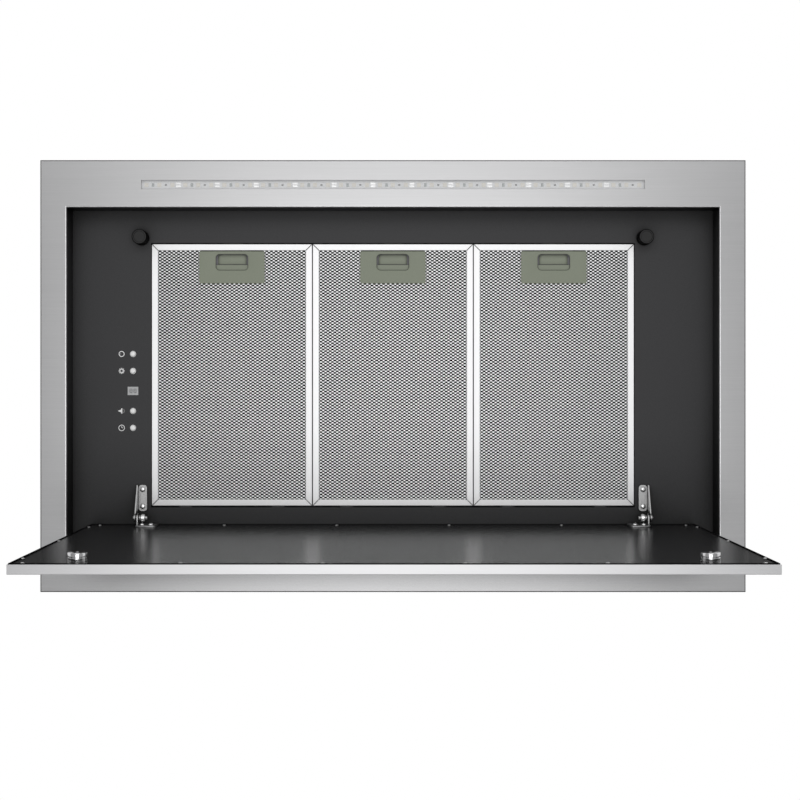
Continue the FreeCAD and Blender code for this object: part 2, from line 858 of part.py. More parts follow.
def transition_body(grow):
    # Folded sheet: flat triangles lead from the square outlet to the round duct
    half_x = scroll_half_x + grow
    half_y = (scroll_right - tongue_offset) / 2 + grow
    radius = duct_radius + grow
    middle = V(0, collar_y, ceiling_z)
    upper = [middle + V(math.cos(a), math.sin(a), 0) * radius for a in turns(transition_folds)]
    corners = [V(half_x, half_y, 0), V(-half_x, half_y, 0), V(-half_x, -half_y, 0), V(half_x, -half_y, 0)]
    lower = [c + V(0, collar_y, outlet_z) for c in corners]
    per_corner = transition_folds // 4
    sides = []
    for i, corner in enumerate(lower):
        fan = [upper[(i * per_corner + k) % transition_folds] for k in range(per_corner)]
        after = upper[((i + 1) * per_corner) % transition_folds]
        for a, b in zip(fan, fan[1:]):
            sides.append([corner, a, b])
        sides.append([corner, fan[-1], after, lower[(i + 1) % 4]])
    return sides, lower, upper


def transition_solid(grow):
    sides, lower, upper = transition_body(grow)
    faces = []
    for points in sides:
        flat = points[:3]
        faces.append(Part.Face(Part.makePolygon(flat + flat[:1])))
        if len(points) > 3:
            rest = [points[0], points[2], points[3]]
            faces.append(Part.Face(Part.makePolygon(rest + rest[:1])))
    for outline in (lower, upper):
        faces.append(Part.Face(Part.makePolygon(outline + outline[:1])))
    return Part.Solid(Part.Shell(faces))


def outlet_transition():
    flange = outlet_rect(outlet_flange, outlet_z, outlet_z + scroll_sheet)
    reach = collar_radius + collar_flange
    rim = slab(reach, reach, ceiling_z - scroll_sheet, ceiling_z, 0, collar_y)
    body = fused([transition_solid(scroll_sheet), flange, rim])
    return body.cut(transition_solid(0))


def blade_outline(x):
    # Forward-swept blade, folded once at mid depth
    inner = impeller_radius - blade_depth + blade_sheet
    outer = impeller_radius - blade_sheet
    middle = (inner + outer) / 2
    path = [(inner, 0), (middle, blade_sweep * blade_fold), (outer, blade_sweep)]
    front = []
    for radius, angle in path:
        a = math.radians(angle)
        front.append(V(x, blower_y + radius * math.cos(a), blower_z + radius * math.sin(a)))
    back = [p + V(0, 0, blade_sheet) for p in reversed(front)]
    outline = front + back
    return Part.Face(Part.makePolygon(outline + outline[:1]))


def impeller():
    # Back disc with a hub, and a front ring
    sides = 2 * impeller_blades
    half = impeller_width / 2
    front = V(-half, blower_y, blower_z)
    back = V(half - impeller_sheet, blower_y, blower_z)
    disc = polygon_bar(sides, impeller_diameter, impeller_sheet, back, along_x)
    ring = polygon_bar(sides, impeller_diameter, impeller_sheet, front, along_x)
    ring = ring.cut(polygon_bar(sides, impeller_diameter - 2 * blade_depth, impeller_sheet, front, along_x))
    hub_start = V(half - hub_length, blower_y, blower_z)
    hub = polygon_bar(turned_sides, hub_diameter, hub_length, hub_start, along_x)
    bore = shaft_diameter + 2 * shaft_running
    wheel = fused([disc, hub]).cut(round_bar(bore, impeller_width, front, along_x))
    return [wheel, ring]


def wheel_blades():
    start = -impeller_width / 2 + impeller_sheet
    blade = blade_outline(start).extrude(V(-2 * start, 0, 0))
    blades = []
    for i in range(impeller_blades):
        turned = blade.copy()
        turned.rotate(V(0, blower_y, blower_z), along_x, 360 * i / impeller_blades)
        blades.append(turned)
    return blades


def motor():
    face = V(scroll_half_x + scroll_sheet, blower_y, blower_z)
    body = polygon_bar(turned_sides, motor_diameter, motor_length, face, along_x)
    bore = shaft_diameter + 2 * shaft_running
    return body.cut(round_bar(bore, motor_length - motor_bearing_depth, face, along_x))


def motor_shaft():
    start = impeller_width / 2 - hub_length
    end = scroll_half_x + scroll_sheet + motor_length - 2 * motor_bearing_depth
    return round_bar(shaft_diameter, end - start, V(start, blower_y, blower_z), along_x)


def capacitor():
    # Boxed motor capacitor on the side of the scroll, beside the outlet
    side = scroll_half_x + scroll_sheet
    top = outlet_z - outlet_flange
    rear = blower_y + scroll_right
    return block(side, side + capacitor_thickness, rear - capacitor_width, rear, top - capacitor_length, top)


def electrics():
    half_x = box_length / 2
    half_y = box_width / 2
    low = ceiling_z - box_height
    box = slab(half_x, half_y, low, ceiling_z, box_x, box_y)
    box = box.cut(slab(half_x - box_wall, half_y - box_wall, low, ceiling_z - box_wall, box_x, box_y))
    gland_hole = gland_bore + 2 * gland_clearance
    box = box.cut(round_bar(gland_hole, box_wall, V(box_x, box_y, ceiling_z - box_wall), along_z))
    save("control_box", box)
    save("control_box_lid", slab(half_x, half_y, low - box_wall, low, box_x, box_y))
    inside = box_wall + board_edge
    board = slab(half_x - inside, half_y - inside, low, low + board_sheet, box_x, box_y)
    save("power_board", board)
    save("cable_gland", cable_gland())
    driver_z = ceiling_z - driver_height
    driver = slab(driver_length / 2, driver_width / 2, driver_z, ceiling_z, driver_x, light_y)
    save("led_driver", driver)


def cable_gland():
    base = V(box_x, box_y, housing_top)
    body = polygon_bar(hex_sides, gland_hex, gland_height, base, along_z)
    return body.cut(round_bar(gland_bore, gland_height, base, along_z))


def cable(points, across):
    # A flat cable of straight lengths joined by round bends
    edges = []
    last = points[0]
    for before, corner, after in zip(points, points[1:], points[2:]):
        into = (corner - before).normalize()
        out = (after - corner).normalize()
        start = corner - into * cable_bend
        end = corner + out * cable_bend
        middle = corner + (out - into) * cable_bend * (1 - math.sqrt(0.5))
        edges += [Part.makeLine(last, start), Part.Arc(start, middle, end).toShape()]
        last = end
    edges.append(Part.makeLine(last, points[-1]))
    forward = (points[1] - points[0]).normalize()
    wide = across * cable_width / 2
    thick = forward.cross(across) * cable_thickness / 2
    corners = [wide + thick, thick - wide, -wide - thick, wide - thick]
    section = [points[0] + c for c in corners]
    outline = Part.makePolygon(section + section[:1])
    return Part.Wire(edges).makePipeShell([outline], True, False)


def wiring_loom():
    lid_z = ceiling_z - box_height - box_wall
    run_z = ceiling_z - driver_height / 2
    motor_x = scroll_half_x + scroll_sheet + motor_length / 2
    motor_run_z = ceiling_z - cable_drop
    board_top = shelf_z + carrier_height + board_sheet
    channel_top = face_z + frame_sheet + channel_height
    to_motor = [
        V(box_x + box_length / 2, blower_y, motor_run_z),
        V(motor_x, blower_y, motor_run_z),
        V(motor_x, blower_y, blower_z + motor_diameter / 2),
    ]
    to_driver = [V(driver_x, box_y - box_width / 2, run_z), V(driver_x, light_y + driver_width / 2, run_z)]
    to_light = [V(driver_x, light_y, ceiling_z - driver_height), V(driver_x, light_y, channel_top)]
    to_buttons = [V(control_x, control_y, lid_z), V(control_x, control_y, board_top)]
    routes = [(to_motor, along_y), (to_driver, along_x), (to_light, along_x), (to_buttons, along_x)]
    return [cable(route, across) for route, across in routes]


os.makedirs("parts", exist_ok=True)
save("face_frame", face_frame())
save("recess_tray", recess_tray())
housing_pieces()
save("hanger_brackets", [hanger_bracket(sx, sy) for sx in (-1, 1) for sy in (-1, 1)])
light_pieces()
for i in range(filter_count):
    x = (i - (filter_count - 1) / 2) * filter_pitch
    name = "filter_" + str(i + 1)
    save(name + "_frame", filter_rails(x))
    save(name + "_mesh", filter_mesh(x))
    save(name + "_handle", filter_handle(x))
    save(name + "_latch", filter_latch(x))
panel_pieces()
save("panel_studs", both_sides(stud()))
save("panel_catches", both_sides(catch()))
save("hinge_bases", both_sides(hinge_base()))
save("hinge_arms", both_sides(hinge_arm()))
save("hinge_bolts", both_sides(hinge_bolt()))
save("hinge_nuts", both_sides(hinge_nut()))
hinge_screws()
control_pieces()
save("duct_collar", duct_collar())
save("damper_rod", damper_rod())
save("damper_flap_rear", damper_flap(1))
save("damper_flap_front", damper_flap(-1))
save("scroll_wrap", scroll_wrap())
inlet_side = scroll_side(-1, inlet_diameter, inlet_sides)
motor_side = scroll_side(1, hub_diameter, turned_sides)
save("scroll_sides", [inlet_side, motor_side])
save("outlet_transition", outlet_transition())
save("impeller", impeller())
save("impeller_blades", wheel_blades())
save("motor_shaft", motor_shaft())
save("motor", motor())
save("capacitor", capacitor())
electrics()
save("wiring_loom", wiring_loom())
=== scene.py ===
import math

import bmesh
import bpy
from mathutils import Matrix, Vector


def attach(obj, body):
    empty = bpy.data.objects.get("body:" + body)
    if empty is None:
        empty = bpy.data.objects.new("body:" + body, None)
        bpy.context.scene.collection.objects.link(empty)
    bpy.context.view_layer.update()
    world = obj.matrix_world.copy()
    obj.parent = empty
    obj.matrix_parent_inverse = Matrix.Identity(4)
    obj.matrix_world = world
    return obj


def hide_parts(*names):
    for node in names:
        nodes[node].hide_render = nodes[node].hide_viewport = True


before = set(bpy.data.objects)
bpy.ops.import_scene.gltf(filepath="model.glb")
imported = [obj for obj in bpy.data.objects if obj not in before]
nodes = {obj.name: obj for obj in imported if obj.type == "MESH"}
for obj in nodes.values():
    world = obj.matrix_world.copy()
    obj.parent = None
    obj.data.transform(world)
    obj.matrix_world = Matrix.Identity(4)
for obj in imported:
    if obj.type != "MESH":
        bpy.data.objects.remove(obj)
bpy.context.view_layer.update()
scene = bpy.context.scene
print("frame loaded:", len(nodes), "nodes")

# Pieces are written in millimetres, finishes, lamps and camera in metres
mm = 0.001
bevelAngle = 35  # edges sharper than this many degrees are rounded
closed = 0.01  # radius at which a turned form ends in a point


def fixNormals(mesh):
    bm = bmesh.new()
    bm.from_mesh(mesh)
    bmesh.ops.recalc_face_normals(bm, faces=bm.faces)
    bm.to_mesh(mesh)
    bm.free()


def addPiece(name, shape, material, body, replaced=(), bevel=0.0, steps=2, smooth=30):
    mesh = bpy.data.meshes.new(name)
    mesh.from_pydata([Vector(v) * mm for v in shape.verts], [], shape.faces)
    obj = bpy.data.objects.new(name, mesh)
    scene.collection.objects.link(obj)
    fixNormals(mesh)
    mesh.materials.append(material)
    if bevel:
        soft = obj.modifiers.new("edge", "BEVEL")
        soft.width = bevel * mm
        soft.segments = steps
        soft.limit_method = "ANGLE"
        soft.angle_limit = math.radians(bevelAngle)
        soft.harden_normals = True
    if smooth:
        mesh.shade_smooth()
        mesh.set_sharp_from_angle(angle=math.radians(smooth))
    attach(obj, body)
    if replaced:
        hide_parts(*replaced)


class Shape:
    # Collects several forms into one mesh
    def __init__(self):
        self.verts = []
        self.faces = []

    def add(self, verts, faces):
        base = len(self.verts)
        self.verts += [tuple(v) for v in verts]
        self.faces += [[base + i for i in f] for f in faces]

    def box(self, low, high):
        (x0, y0, z0), (x1, y1, z1) = low, high
        verts = [(x, y, z) for z in (z0, z1) for y in (y0, y1) for x in (x0, x1)]
        self.add(verts, [(0, 2, 3, 1), (4, 5, 7, 6), (0, 1, 5, 4), (2, 6, 7, 3), (0, 4, 6, 2), (1, 3, 7, 5)])

    def prism(self, outline, along):
        count = len(outline)
        verts = [Vector(p) for p in outline] + [Vector(p) + Vector(along) for p in outline]
        sides = [(i, (i + 1) % count, count + (i + 1) % count, count + i) for i in range(count)]
        self.add(verts, [list(range(count))[::-1], list(range(count, 2 * count))] + sides)

    def rings(self, loops, capStart=False, capEnd=False):
        count = len(loops[0])
        faces = []
        for k in range(len(loops) - 1):
            for i in range(count):
                j = (i + 1) % count
                faces.append((k * count + i, k * count + j, (k + 1) * count + j, (k + 1) * count + i))
        if capStart:
            faces.append(list(range(count))[::-1])
        if capEnd:
            faces.append(list(range((len(loops) - 1) * count, len(loops) * count)))
        self.add([p for loop in loops for p in loop], faces)

    def lathe(self, profile, base, axis, sides=40, hollow=False):
        # profile holds (radius, height along the axis), and a flute depth where the ring is ribbed
        turn = Vector((0, 0, 1)).rotation_difference(Vector(axis)).to_matrix()
        loops = []
        for radius, height, *flute in profile:
            loop = []
            for i in range(sides):
                a = 2 * math.pi * i / sides
                r = radius - flute[0] if flute and i % 4 < 2 else radius
                loop.append(Vector(base) + turn @ Vector((r * math.cos(a), r * math.sin(a), height)))
            loops.append(loop)
        if hollow:
            self.rings(loops + loops[:1])
        else:
            self.rings(loops, profile[0][0] > closed, profile[-1][0] > closed)


def bothSides(made):
    whole = Shape()
    whole.add(made.verts, made.faces)
    whole.add([(-x, y, z) for x, y, z in made.verts], [f[::-1] for f in made.faces])
    return whole


def roundRect(x, y, halfX, halfY, corner, z, steps=6):
    points = []
    for cx, cy, start in ((1, 1, 0), (-1, 1, 90), (-1, -1, 180), (1, -1, 270)):
        for k in range(steps + 1):
            a = math.radians(start + 90 * k / steps)
            points.append((x + cx * (halfX - corner) + corner * math.cos(a),
                           y + cy * (halfY - corner) + corner * math.sin(a), z))
    return points


# Finishes
grainSpan = (0.3, 0.7)  # the part of a noise's range that is used
turnSpan = (0.80, 0.98)  # how squarely a face looks one way, from not yet to fully


def newFinish(name):
    material = bpy.data.materials.new(name)
    material.use_nodes = True
    tree = material.node_tree
    return material, tree, tree.nodes["Principled BSDF"]


def setOrLink(tree, socket, value):
    if isinstance(value, bpy.types.NodeSocket):
        tree.links.new(value, socket)
    else:
        socket.default_value = value


def mathStep(tree, operation, *values):
    step = tree.nodes.new("ShaderNodeMath")
    step.operation = operation
    for socket, value in zip(step.inputs, values):
        setOrLink(tree, socket, value)
    return step.outputs["Value"]


def vectorStep(tree, operation, first, second):
    step = tree.nodes.new("ShaderNodeVectorMath")
    step.operation = operation
    setOrLink(tree, step.inputs[0], first)
    setOrLink(tree, step.inputs["Scale" if operation == "SCALE" else 1], second)
    return step.outputs["Value" if operation == "DOT_PRODUCT" else "Vector"]


def levelFrom(tree, value, start, end, low, high):
    ramp = tree.nodes.new("ShaderNodeMapRange")
    for socket, number in zip(("From Min", "From Max", "To Min", "To Max"), (start, end, low, high)):
        ramp.inputs[socket].default_value = number
    tree.links.new(value, ramp.inputs["Value"])
    return ramp.outputs["Result"]


def colourBetween(tree, factor, dark, light, low, high):
    ramp = tree.nodes.new("ShaderNodeValToRGB")
    ramp.color_ramp.elements[0].position = low
    ramp.color_ramp.elements[1].position = high
    ramp.color_ramp.elements[0].color = (*dark, 1)
    ramp.color_ramp.elements[1].color = (*light, 1)
    tree.links.new(factor, ramp.inputs["Fac"])
    return ramp.outputs["Color"]


def greyStops(tree, factor, stops):
    ramp = tree.nodes.new("ShaderNodeValToRGB")
    marks = ramp.color_ramp.elements
    for mark, (position, tone) in ((marks[0], stops[0]), (marks[1], stops[-1])):
        mark.position = position
        mark.color = (tone, tone, tone, 1)
    for position, tone in stops[1:-1]:
        mark = marks.new(position)
        mark.color = (tone, tone, tone, 1)
    tree.links.new(factor, ramp.inputs["Fac"])
    return ramp.outputs["Color"]


def placeAlong(tree, axis):
    place = tree.nodes.new("ShaderNodeTexCoord")
    split = tree.nodes.new("ShaderNodeSeparateXYZ")
    tree.links.new(place.outputs["Object"], split.inputs["Vector"])
    return split.outputs[axis]


def texturePlace(tree, stretch):
    place = tree.nodes.new("ShaderNodeTexCoord")
    mapping = tree.nodes.new("ShaderNodeMapping")
    mapping.inputs["Scale"].default_value = stretch
    tree.links.new(place.outputs["Object"], mapping.inputs["Vector"])
    return mapping.outputs["Vector"]


def grainNoise(tree, stretch, scale, detail):
    noise = tree.nodes.new("ShaderNodeTexNoise")
    noise.inputs["Scale"].default_value = scale
    noise.inputs["Detail"].default_value = detail
    tree.links.new(texturePlace(tree, stretch), noise.inputs["Vector"])
    return noise.outputs["Fac"]


def bumpFrom(tree, height, strength, distance, shader):
    bump = tree.nodes.new("ShaderNodeBump")
    bump.inputs["Strength"].default_value = strength
    bump.inputs["Distance"].default_value = distance
    tree.links.new(height, bump.inputs["Height"])
    tree.links.new(bump.outputs["Normal"], shader.inputs["Normal"])


def grainFinish(name, dark, light, rough, metal=0.0, stretch=(1, 1, 1), scale=400, detail=4,
                bump=0.1, depth=0.0002, specular=0.5):
    # One noise drives colour, gloss and a fine relief together
    material, tree, shader = newFinish(name)
    shader.inputs["Metallic"].default_value = metal
    shader.inputs["Specular IOR Level"].default_value = specular
    grain = grainNoise(tree, stretch, scale, detail)
    tree.links.new(levelFrom(tree, grain, *grainSpan, *rough), shader.inputs["Roughness"])
    tree.links.new(colourBetween(tree, grain, dark, light, *grainSpan), shader.inputs["Base Color"])
    if bump:
        bumpFrom(tree, grain, bump, depth, shader)
    return material


zinc = {"dark": (0.40, 0.415, 0.42), "light": (0.50, 0.515, 0.52), "rough": (0.42, 0.58), "metal": 0.85,
        "patches": 70}


def spangleFinish(name):
    # Crystal patches of a zinc coating
    material, tree, shader = newFinish(name)
    shader.inputs["Metallic"].default_value = zinc["metal"]
    cells = tree.nodes.new("ShaderNodeTexVoronoi")
    cells.inputs["Scale"].default_value = zinc["patches"]
    tree.links.new(texturePlace(tree, (1, 1, 1)), cells.inputs["Vector"])
    patch = tree.nodes.new("ShaderNodeSeparateColor")
    tree.links.new(cells.outputs["Color"], patch.inputs["Color"])
    colour = colourBetween(tree, patch.outputs["Red"], zinc["dark"], zinc["light"], 0, 1)
    tree.links.new(colour, shader.inputs["Base Color"])
    rough = levelFrom(tree, patch.outputs["Green"], 0.0, 1.0, *zinc["rough"])
    tree.links.new(rough, shader.inputs["Roughness"])
    return material


def facingLevel(tree, way, low):
    # 1 on the faces that look one way, low on those turned from it
    place = tree.nodes.new("ShaderNodeTexCoord")
    facing = vectorStep(tree, "DOT_PRODUCT", place.outputs["Normal"], way)
    return levelFrom(tree, facing, *turnSpan, low, 1.0)


def tint(tree, operation, factor):
    colour = tree.nodes["Principled BSDF"].inputs["Base Color"]
    tree.links.new(vectorStep(tree, operation, colour.links[0].from_socket, factor), colour)


def scaleGloss(tree, level):
    gloss = tree.nodes["Principled BSDF"].inputs["Specular IOR Level"]
    tree.links.new(levelFrom(tree, level, 0.0, 1.0, 0.0, gloss.default_value), gloss)


def paintedShadeNear(material, reach, low, start=0.0, end=1.0, behind=None):
    # Painted shade: crevices and faces close to others are a little darker, or only those behind one line
    tree = material.node_tree
    near = tree.nodes.new("ShaderNodeAmbientOcclusion")
    near.inputs["Distance"].default_value = reach
    near.samples = 8
    level = levelFrom(tree, near.outputs["AO"], start, end, low, 1.0)
    if behind:
        here = levelFrom(tree, placeAlong(tree, "Y"), behind - 0.01, behind, 0.0, 1.0)
        part = tree.nodes.new("ShaderNodeMix")
        part.inputs["A"].default_value = 1.0
        tree.links.new(here, part.inputs["Factor"])
        tree.links.new(level, part.inputs["B"])
        level = part.outputs["Result"]
    tint(tree, "SCALE", level)


def paintedBendLight(material, outward, inward):
    # Painted light on the rounded bends only: outer ones get a painted dark reflection, inner ones a painted
    # highlight
    tree = material.node_tree
    place = tree.nodes.new("ShaderNodeTexCoord").outputs
    flat = vectorStep(tree, "MULTIPLY", place["Normal"], (1, 1, 0))
    facing = vectorStep(tree, "DOT_PRODUCT", flat, place["Object"])
    stops = ((0.0, inward), (0.42, inward), (0.48, 1.0), (0.52, 1.0), (0.60, outward), (1.0, outward))
    tone = greyStops(tree, levelFrom(tree, facing, -0.2, 0.2, 0.0, 1.0), stops)
    down = vectorStep(tree, "DOT_PRODUCT", place["Normal"], (0, 0, -1))
    bend = greyStops(tree, down, ((0.02, 0.0), (0.10, 1.0), (0.985, 1.0), (0.998, 0.0)))
    part = tree.nodes.new("ShaderNodeMix")
    part.data_type = "RGBA"
    part.inputs[6].default_value = (1, 1, 1, 1)  # sockets 6 and 7 are the two colours
    tree.links.new(bend, part.inputs[0])
    tree.links.new(tone, part.inputs[7])
    tint(tree, "MULTIPLY", part.outputs[2])


brushed = {"metal": 1.0, "stretch": (2, 260, 260), "scale": 6, "detail": 3, "bump": 0.06, "depth": 0.0001}
panelSteel = grainFinish("brushed steel panel", (0.492, 0.492, 0.498), (0.520, 0.520, 0.526), (0.42, 0.46),
                         **brushed)
frameSteel = grainFinish("brushed steel frame", (0.412, 0.412, 0.416), (0.438, 0.438, 0.442), (0.33, 0.37),
                         **brushed)
# Painted dark reflection on the frame's outer bends and a painted highlight on its inner ones
paintedBendLight(frameSteel, outward=0.16, inward=1.5)
# Painted shade where other parts stand close, and a painted shadow beside the hanging panel
paintedShadeNear(frameSteel, 0.09, 0.0)
paintedShadeNear(frameSteel, 0.075, 0.0, 0.64, 0.975, 0.235)  # beside the hanging panel
trayPaint = grainFinish("satin black paint", (0.035, 0.035, 0.037), (0.043, 0.043, 0.045), (0.42, 0.50),
                        scale=900, bump=0.08, specular=0.25)
# Painted shade in the recess, darker near its walls and the hanging panel
paintedShadeNear(trayPaint, 0.22, 0.0, 0.34, 0.66)
platePaint = grainFinish("semi-gloss black paint", (0.003, 0.003, 0.0033), (0.006, 0.006, 0.0064),
                         (0.23, 0.27), scale=700, bump=0.05)
plateEnds = {"start": 0.420, "end": 0.455, "slant": -0.247, "fall": -3.1,
             "frontStart": -0.373, "frontEnd": -0.366, "rim": 0.12}


def plateGloss():
    # The paint is duller towards the free corners, along the front edge and on the turned rim
    tree = platePaint.node_tree
    e = plateEnds
    across = mathStep(tree, "ABSOLUTE", placeAlong(tree, "X"))
    corner = mathStep(tree, "MULTIPLY_ADD", placeAlong(tree, "Z"), e["slant"], across)
    fall = mathStep(tree, "POWER", 10, levelFrom(tree, corner, e["start"], e["end"], 0.0, e["fall"]))
    front = levelFrom(tree, placeAlong(tree, "Z"), e["frontStart"], e["frontEnd"], e["rim"], 1.0)
    turned = facingLevel(tree, (0, -1, 0), e["rim"])
    scaleGloss(tree, mathStep(tree, "MULTIPLY", mathStep(tree, "MULTIPLY", fall, front), turned))


plateGloss()
zincCoat = spangleFinish("zinc coat")
railMetal = grainFinish("satin aluminium", (0.965, 0.965, 0.97), (0.99, 0.99, 0.993), (0.46, 0.56), 0.5,
                        scale=1500, bump=0.15)
# Painted shade on the rails where other parts stand close
paintedShadeNear(railMetal, 0.045, 0.05)
meshMetal = grainFinish("expanded aluminium", (0.945, 0.96, 0.962), (0.975, 0.99, 0.99), (0.36, 0.48), 0.62,
                        scale=900, bump=0.1)
# A near-black stand-in painted as the shade inside the mesh layers
meshShadeMetal = grainFinish("painted shade mesh layers", (0.003, 0.003, 0.003), (0.014, 0.014, 0.014), (0.6, 0.8),
                        scale=380, bump=0.6, depth=0.001, specular=0.1)
brightMetal = grainFinish("bright plated steel", (0.74, 0.74, 0.74), (0.84, 0.84, 0.84), (0.10, 0.20), 1.0,
                          scale=500, bump=0.03)
polishedMetal = grainFinish("polished plated steel", (0.55, 0.55, 0.555), (0.60, 0.60, 0.605),
                            (0.12, 0.16), 1.0, scale=200, bump=0)
satinPlate = grainFinish("satin plated steel", (0.34, 0.34, 0.34), (0.45, 0.45, 0.45), (0.26, 0.38), 1.0,
                         scale=800, bump=0.06)
# Painted shade around screw heads and where plates meet
paintedShadeNear(satinPlate, 0.005, 0.1)
olivePlastic = grainFinish("olive grey plastic", (0.238, 0.262, 0.196), (0.260, 0.286, 0.219), (0.50, 0.60),
                           scale=1200, bump=0.08)
# Painted shade in the handle's crevices and around its grip
paintedShadeNear(olivePlastic, 0.006, 0.25)
# A darker grey copy of the handle's plastic, painted as the shade inside the grip well
wellShadePlastic = grainFinish("painted shade grey well", (0.20, 0.195, 0.21), (0.24, 0.235, 0.25), (0.34, 0.44),
                          scale=1200, bump=0.05)
blackPlastic = grainFinish("black moulded plastic", (0.014, 0.014, 0.015), (0.022, 0.022, 0.023),
                           (0.46, 0.58), scale=1300, bump=0.12)
blackRubber = grainFinish("black rubber", (0.007, 0.007, 0.0073), (0.010, 0.010, 0.0103), (0.60, 0.72),
                          scale=1500, bump=0.12)
# Painted shade: the catches' sides are darker in colour and less glossy than their faces
capSideShade = facingLevel(blackRubber.node_tree, (0, 0, -1), 0.15)
tint(blackRubber.node_tree, "SCALE", capSideShade)
scaleGloss(blackRubber.node_tree, capSideShade)
whitePlastic = grainFinish("white plastic", (0.95, 0.95, 0.945), (0.98, 0.98, 0.975), (0.24, 0.32),
                           scale=1500, bump=0.04)
displayPlastic = grainFinish("grey display window", (0.44, 0.445, 0.45), (0.50, 0.505, 0.51), (0.16, 0.24),
                             scale=900, bump=0.02)
digitInk = grainFinish("display segments", (0.06, 0.06, 0.065), (0.09, 0.09, 0.095), (0.3, 0.4),
                       scale=900, bump=0.02)
iconInk = grainFinish("printed sign", (0.86, 0.86, 0.86), (0.95, 0.95, 0.95), (0.45, 0.55),
                      scale=2500, bump=0.05)
iconFaint = grainFinish("faint print", (0.16, 0.16, 0.16), (0.22, 0.22, 0.22), (0.45, 0.55),
                        scale=2500, bump=0.05)
stripBoard = grainFinish("light strip board", (0.80, 0.805, 0.82), (0.86, 0.865, 0.88), (0.40, 0.50),
                         scale=700, bump=0.03)
padTin = grainFinish("tinned pads", (0.94, 0.94, 0.94), (0.985, 0.985, 0.985), (0.28, 0.40), 0.5,
                     scale=1500, bump=0.1)
phosphor = grainFinish("lamp phosphor", (0.79, 0.755, 0.685), (0.86, 0.825, 0.755), (0.35, 0.50),
                       scale=1800, bump=0.04)
chipBody = grainFinish("chip resistor", (0.34, 0.37, 0.37), (0.44, 0.47, 0.47), (0.4, 0.5),
                       scale=1500, bump=0.05)
darkDot = grainFinish("dark dot", (0.16, 0.17, 0.17), (0.22, 0.23, 0.22), (0.4, 0.5), scale=1500, bump=0.05)
greenBoard = grainFinish("green board", (0.010, 0.075, 0.030), (0.016, 0.110, 0.045), (0.30, 0.42),
                         scale=300, bump=0.05)
cableSheath = grainFinish("cable sheath", (0.42, 0.42, 0.42), (0.50, 0.50, 0.50), (0.45, 0.55),
                          scale=900, bump=0.08)
clearCover = grainFinish("clear strip cover", (0.92, 0.93, 0.93), (0.96, 0.97, 0.97), (0.06, 0.12),
                         scale=300, bump=0.01)
clearCover.node_tree.nodes["Principled BSDF"].inputs["Alpha"].default_value = 0.12
clearCover.surface_render_method = "BLENDED"
print("finishes ready:", len(bpy.data.materials))

# Which finish each carried-over solid wears
worn = {
    "face_frame": frameSteel, "recess_tray": trayPaint,
    "housing_top": zincCoat, "housing_walls": zincCoat, "housing_base": zincCoat, "hanger_brackets": zincCoat,
    "led_channel": railMetal, "led_board": stripBoard, "led_cover": clearCover, "led_emitters": phosphor,
    "panel_skin": panelSteel, "panel_plate": platePaint, "panel_screws": brightMetal,
    "panel_studs": brightMetal, "panel_catches": blackRubber,
    "hinge_bases": satinPlate, "hinge_arms": satinPlate, "hinge_bolts": brightMetal,
    "hinge_nuts": brightMetal, "hinge_tray_screws": brightMetal, "hinge_panel_screws": brightMetal,
    "control_carrier": blackPlastic, "control_board": greenBoard, "display": displayPlastic,
    "duct_collar": blackPlastic, "damper_rod": brightMetal, "damper_flap_rear": blackPlastic,
    "damper_flap_front": blackPlastic, "scroll_wrap": zincCoat, "scroll_sides": zincCoat,
    "outlet_transition": zincCoat, "impeller": blackPlastic, "impeller_blades": blackPlastic,
    "motor_shaft": brightMetal, "motor": zincCoat, "capacitor": whitePlastic, "control_box": blackPlastic,
    "control_box_lid": blackPlastic, "power_board": greenBoard, "cable_gland": blackPlastic,
    "led_driver": whitePlastic, "wiring_loom": cableSheath,
}
for i in (1, 2, 3):
    worn[f"filter_{i}_frame"] = railMetal
    worn[f"filter_{i}_mesh"] = meshShadeMetal
    worn[f"filter_{i}_handle"] = olivePlastic
    worn[f"filter_{i}_latch"] = olivePlastic
for i in (1, 2, 3, 4):
    worn[f"button_{i}"] = whitePlastic
for name, obj in nodes.items():
    obj.data.materials.clear()
    obj.data.materials.append(worn[name])
print("solids dressed")


# Camera and light
view = {"place": (-0.0057, 0.0094, -1.817), "lens": 63.9, "sensor": 36, "shift": (0.0144, -0.0206),
        "clip": (0.05, 50)}


def setCamera():
    data = bpy.data.cameras.new("camera")
    data.lens = view["lens"]
    data.sensor_width = view["sensor"]
    data.shift_x, data.shift_y = view["shift"]
    data.clip_start, data.clip_end = view["clip"]
    camera = bpy.data.objects.new("camera", data)
    camera.location = view["place"]
    camera.rotation_euler = (math.pi, 0, 0)  # straight up, front edge at the top
    scene.collection.objects.link(camera)
    scene.camera = camera


light = {
    "ambient": 0.44,
    "under": {"place": (0, 0.155, -2.25), "aim": (0, 0.155, 0), "size": (1.3, 1.2), "power": 13.5},
    "front": {"place": (0, -1.3, -2.2), "aim": (0, 0, 0.05), "size": (2.4, 1.0), "power": 12},
    "above": {"place": (1.4, -1.6, 2.2), "aim": (0, 0, 0.2), "size": (3.2, 3.2), "power": 34},
}


def softBox(name):
    made = light[name]
    data = bpy.data.lights.new(name, "AREA")
    data.shape = "RECTANGLE"
    data.size, data.size_y = made["size"]
    data.energy = made["power"]
    lamp = bpy.data.objects.new(name, data)
    lamp.location = made["place"]
    way = Vector(made["aim"]) - Vector(made["place"])
    lamp.rotation_euler = way.to_track_quat("-Z", "Y").to_euler()
    scene.collection.objects.link(lamp)


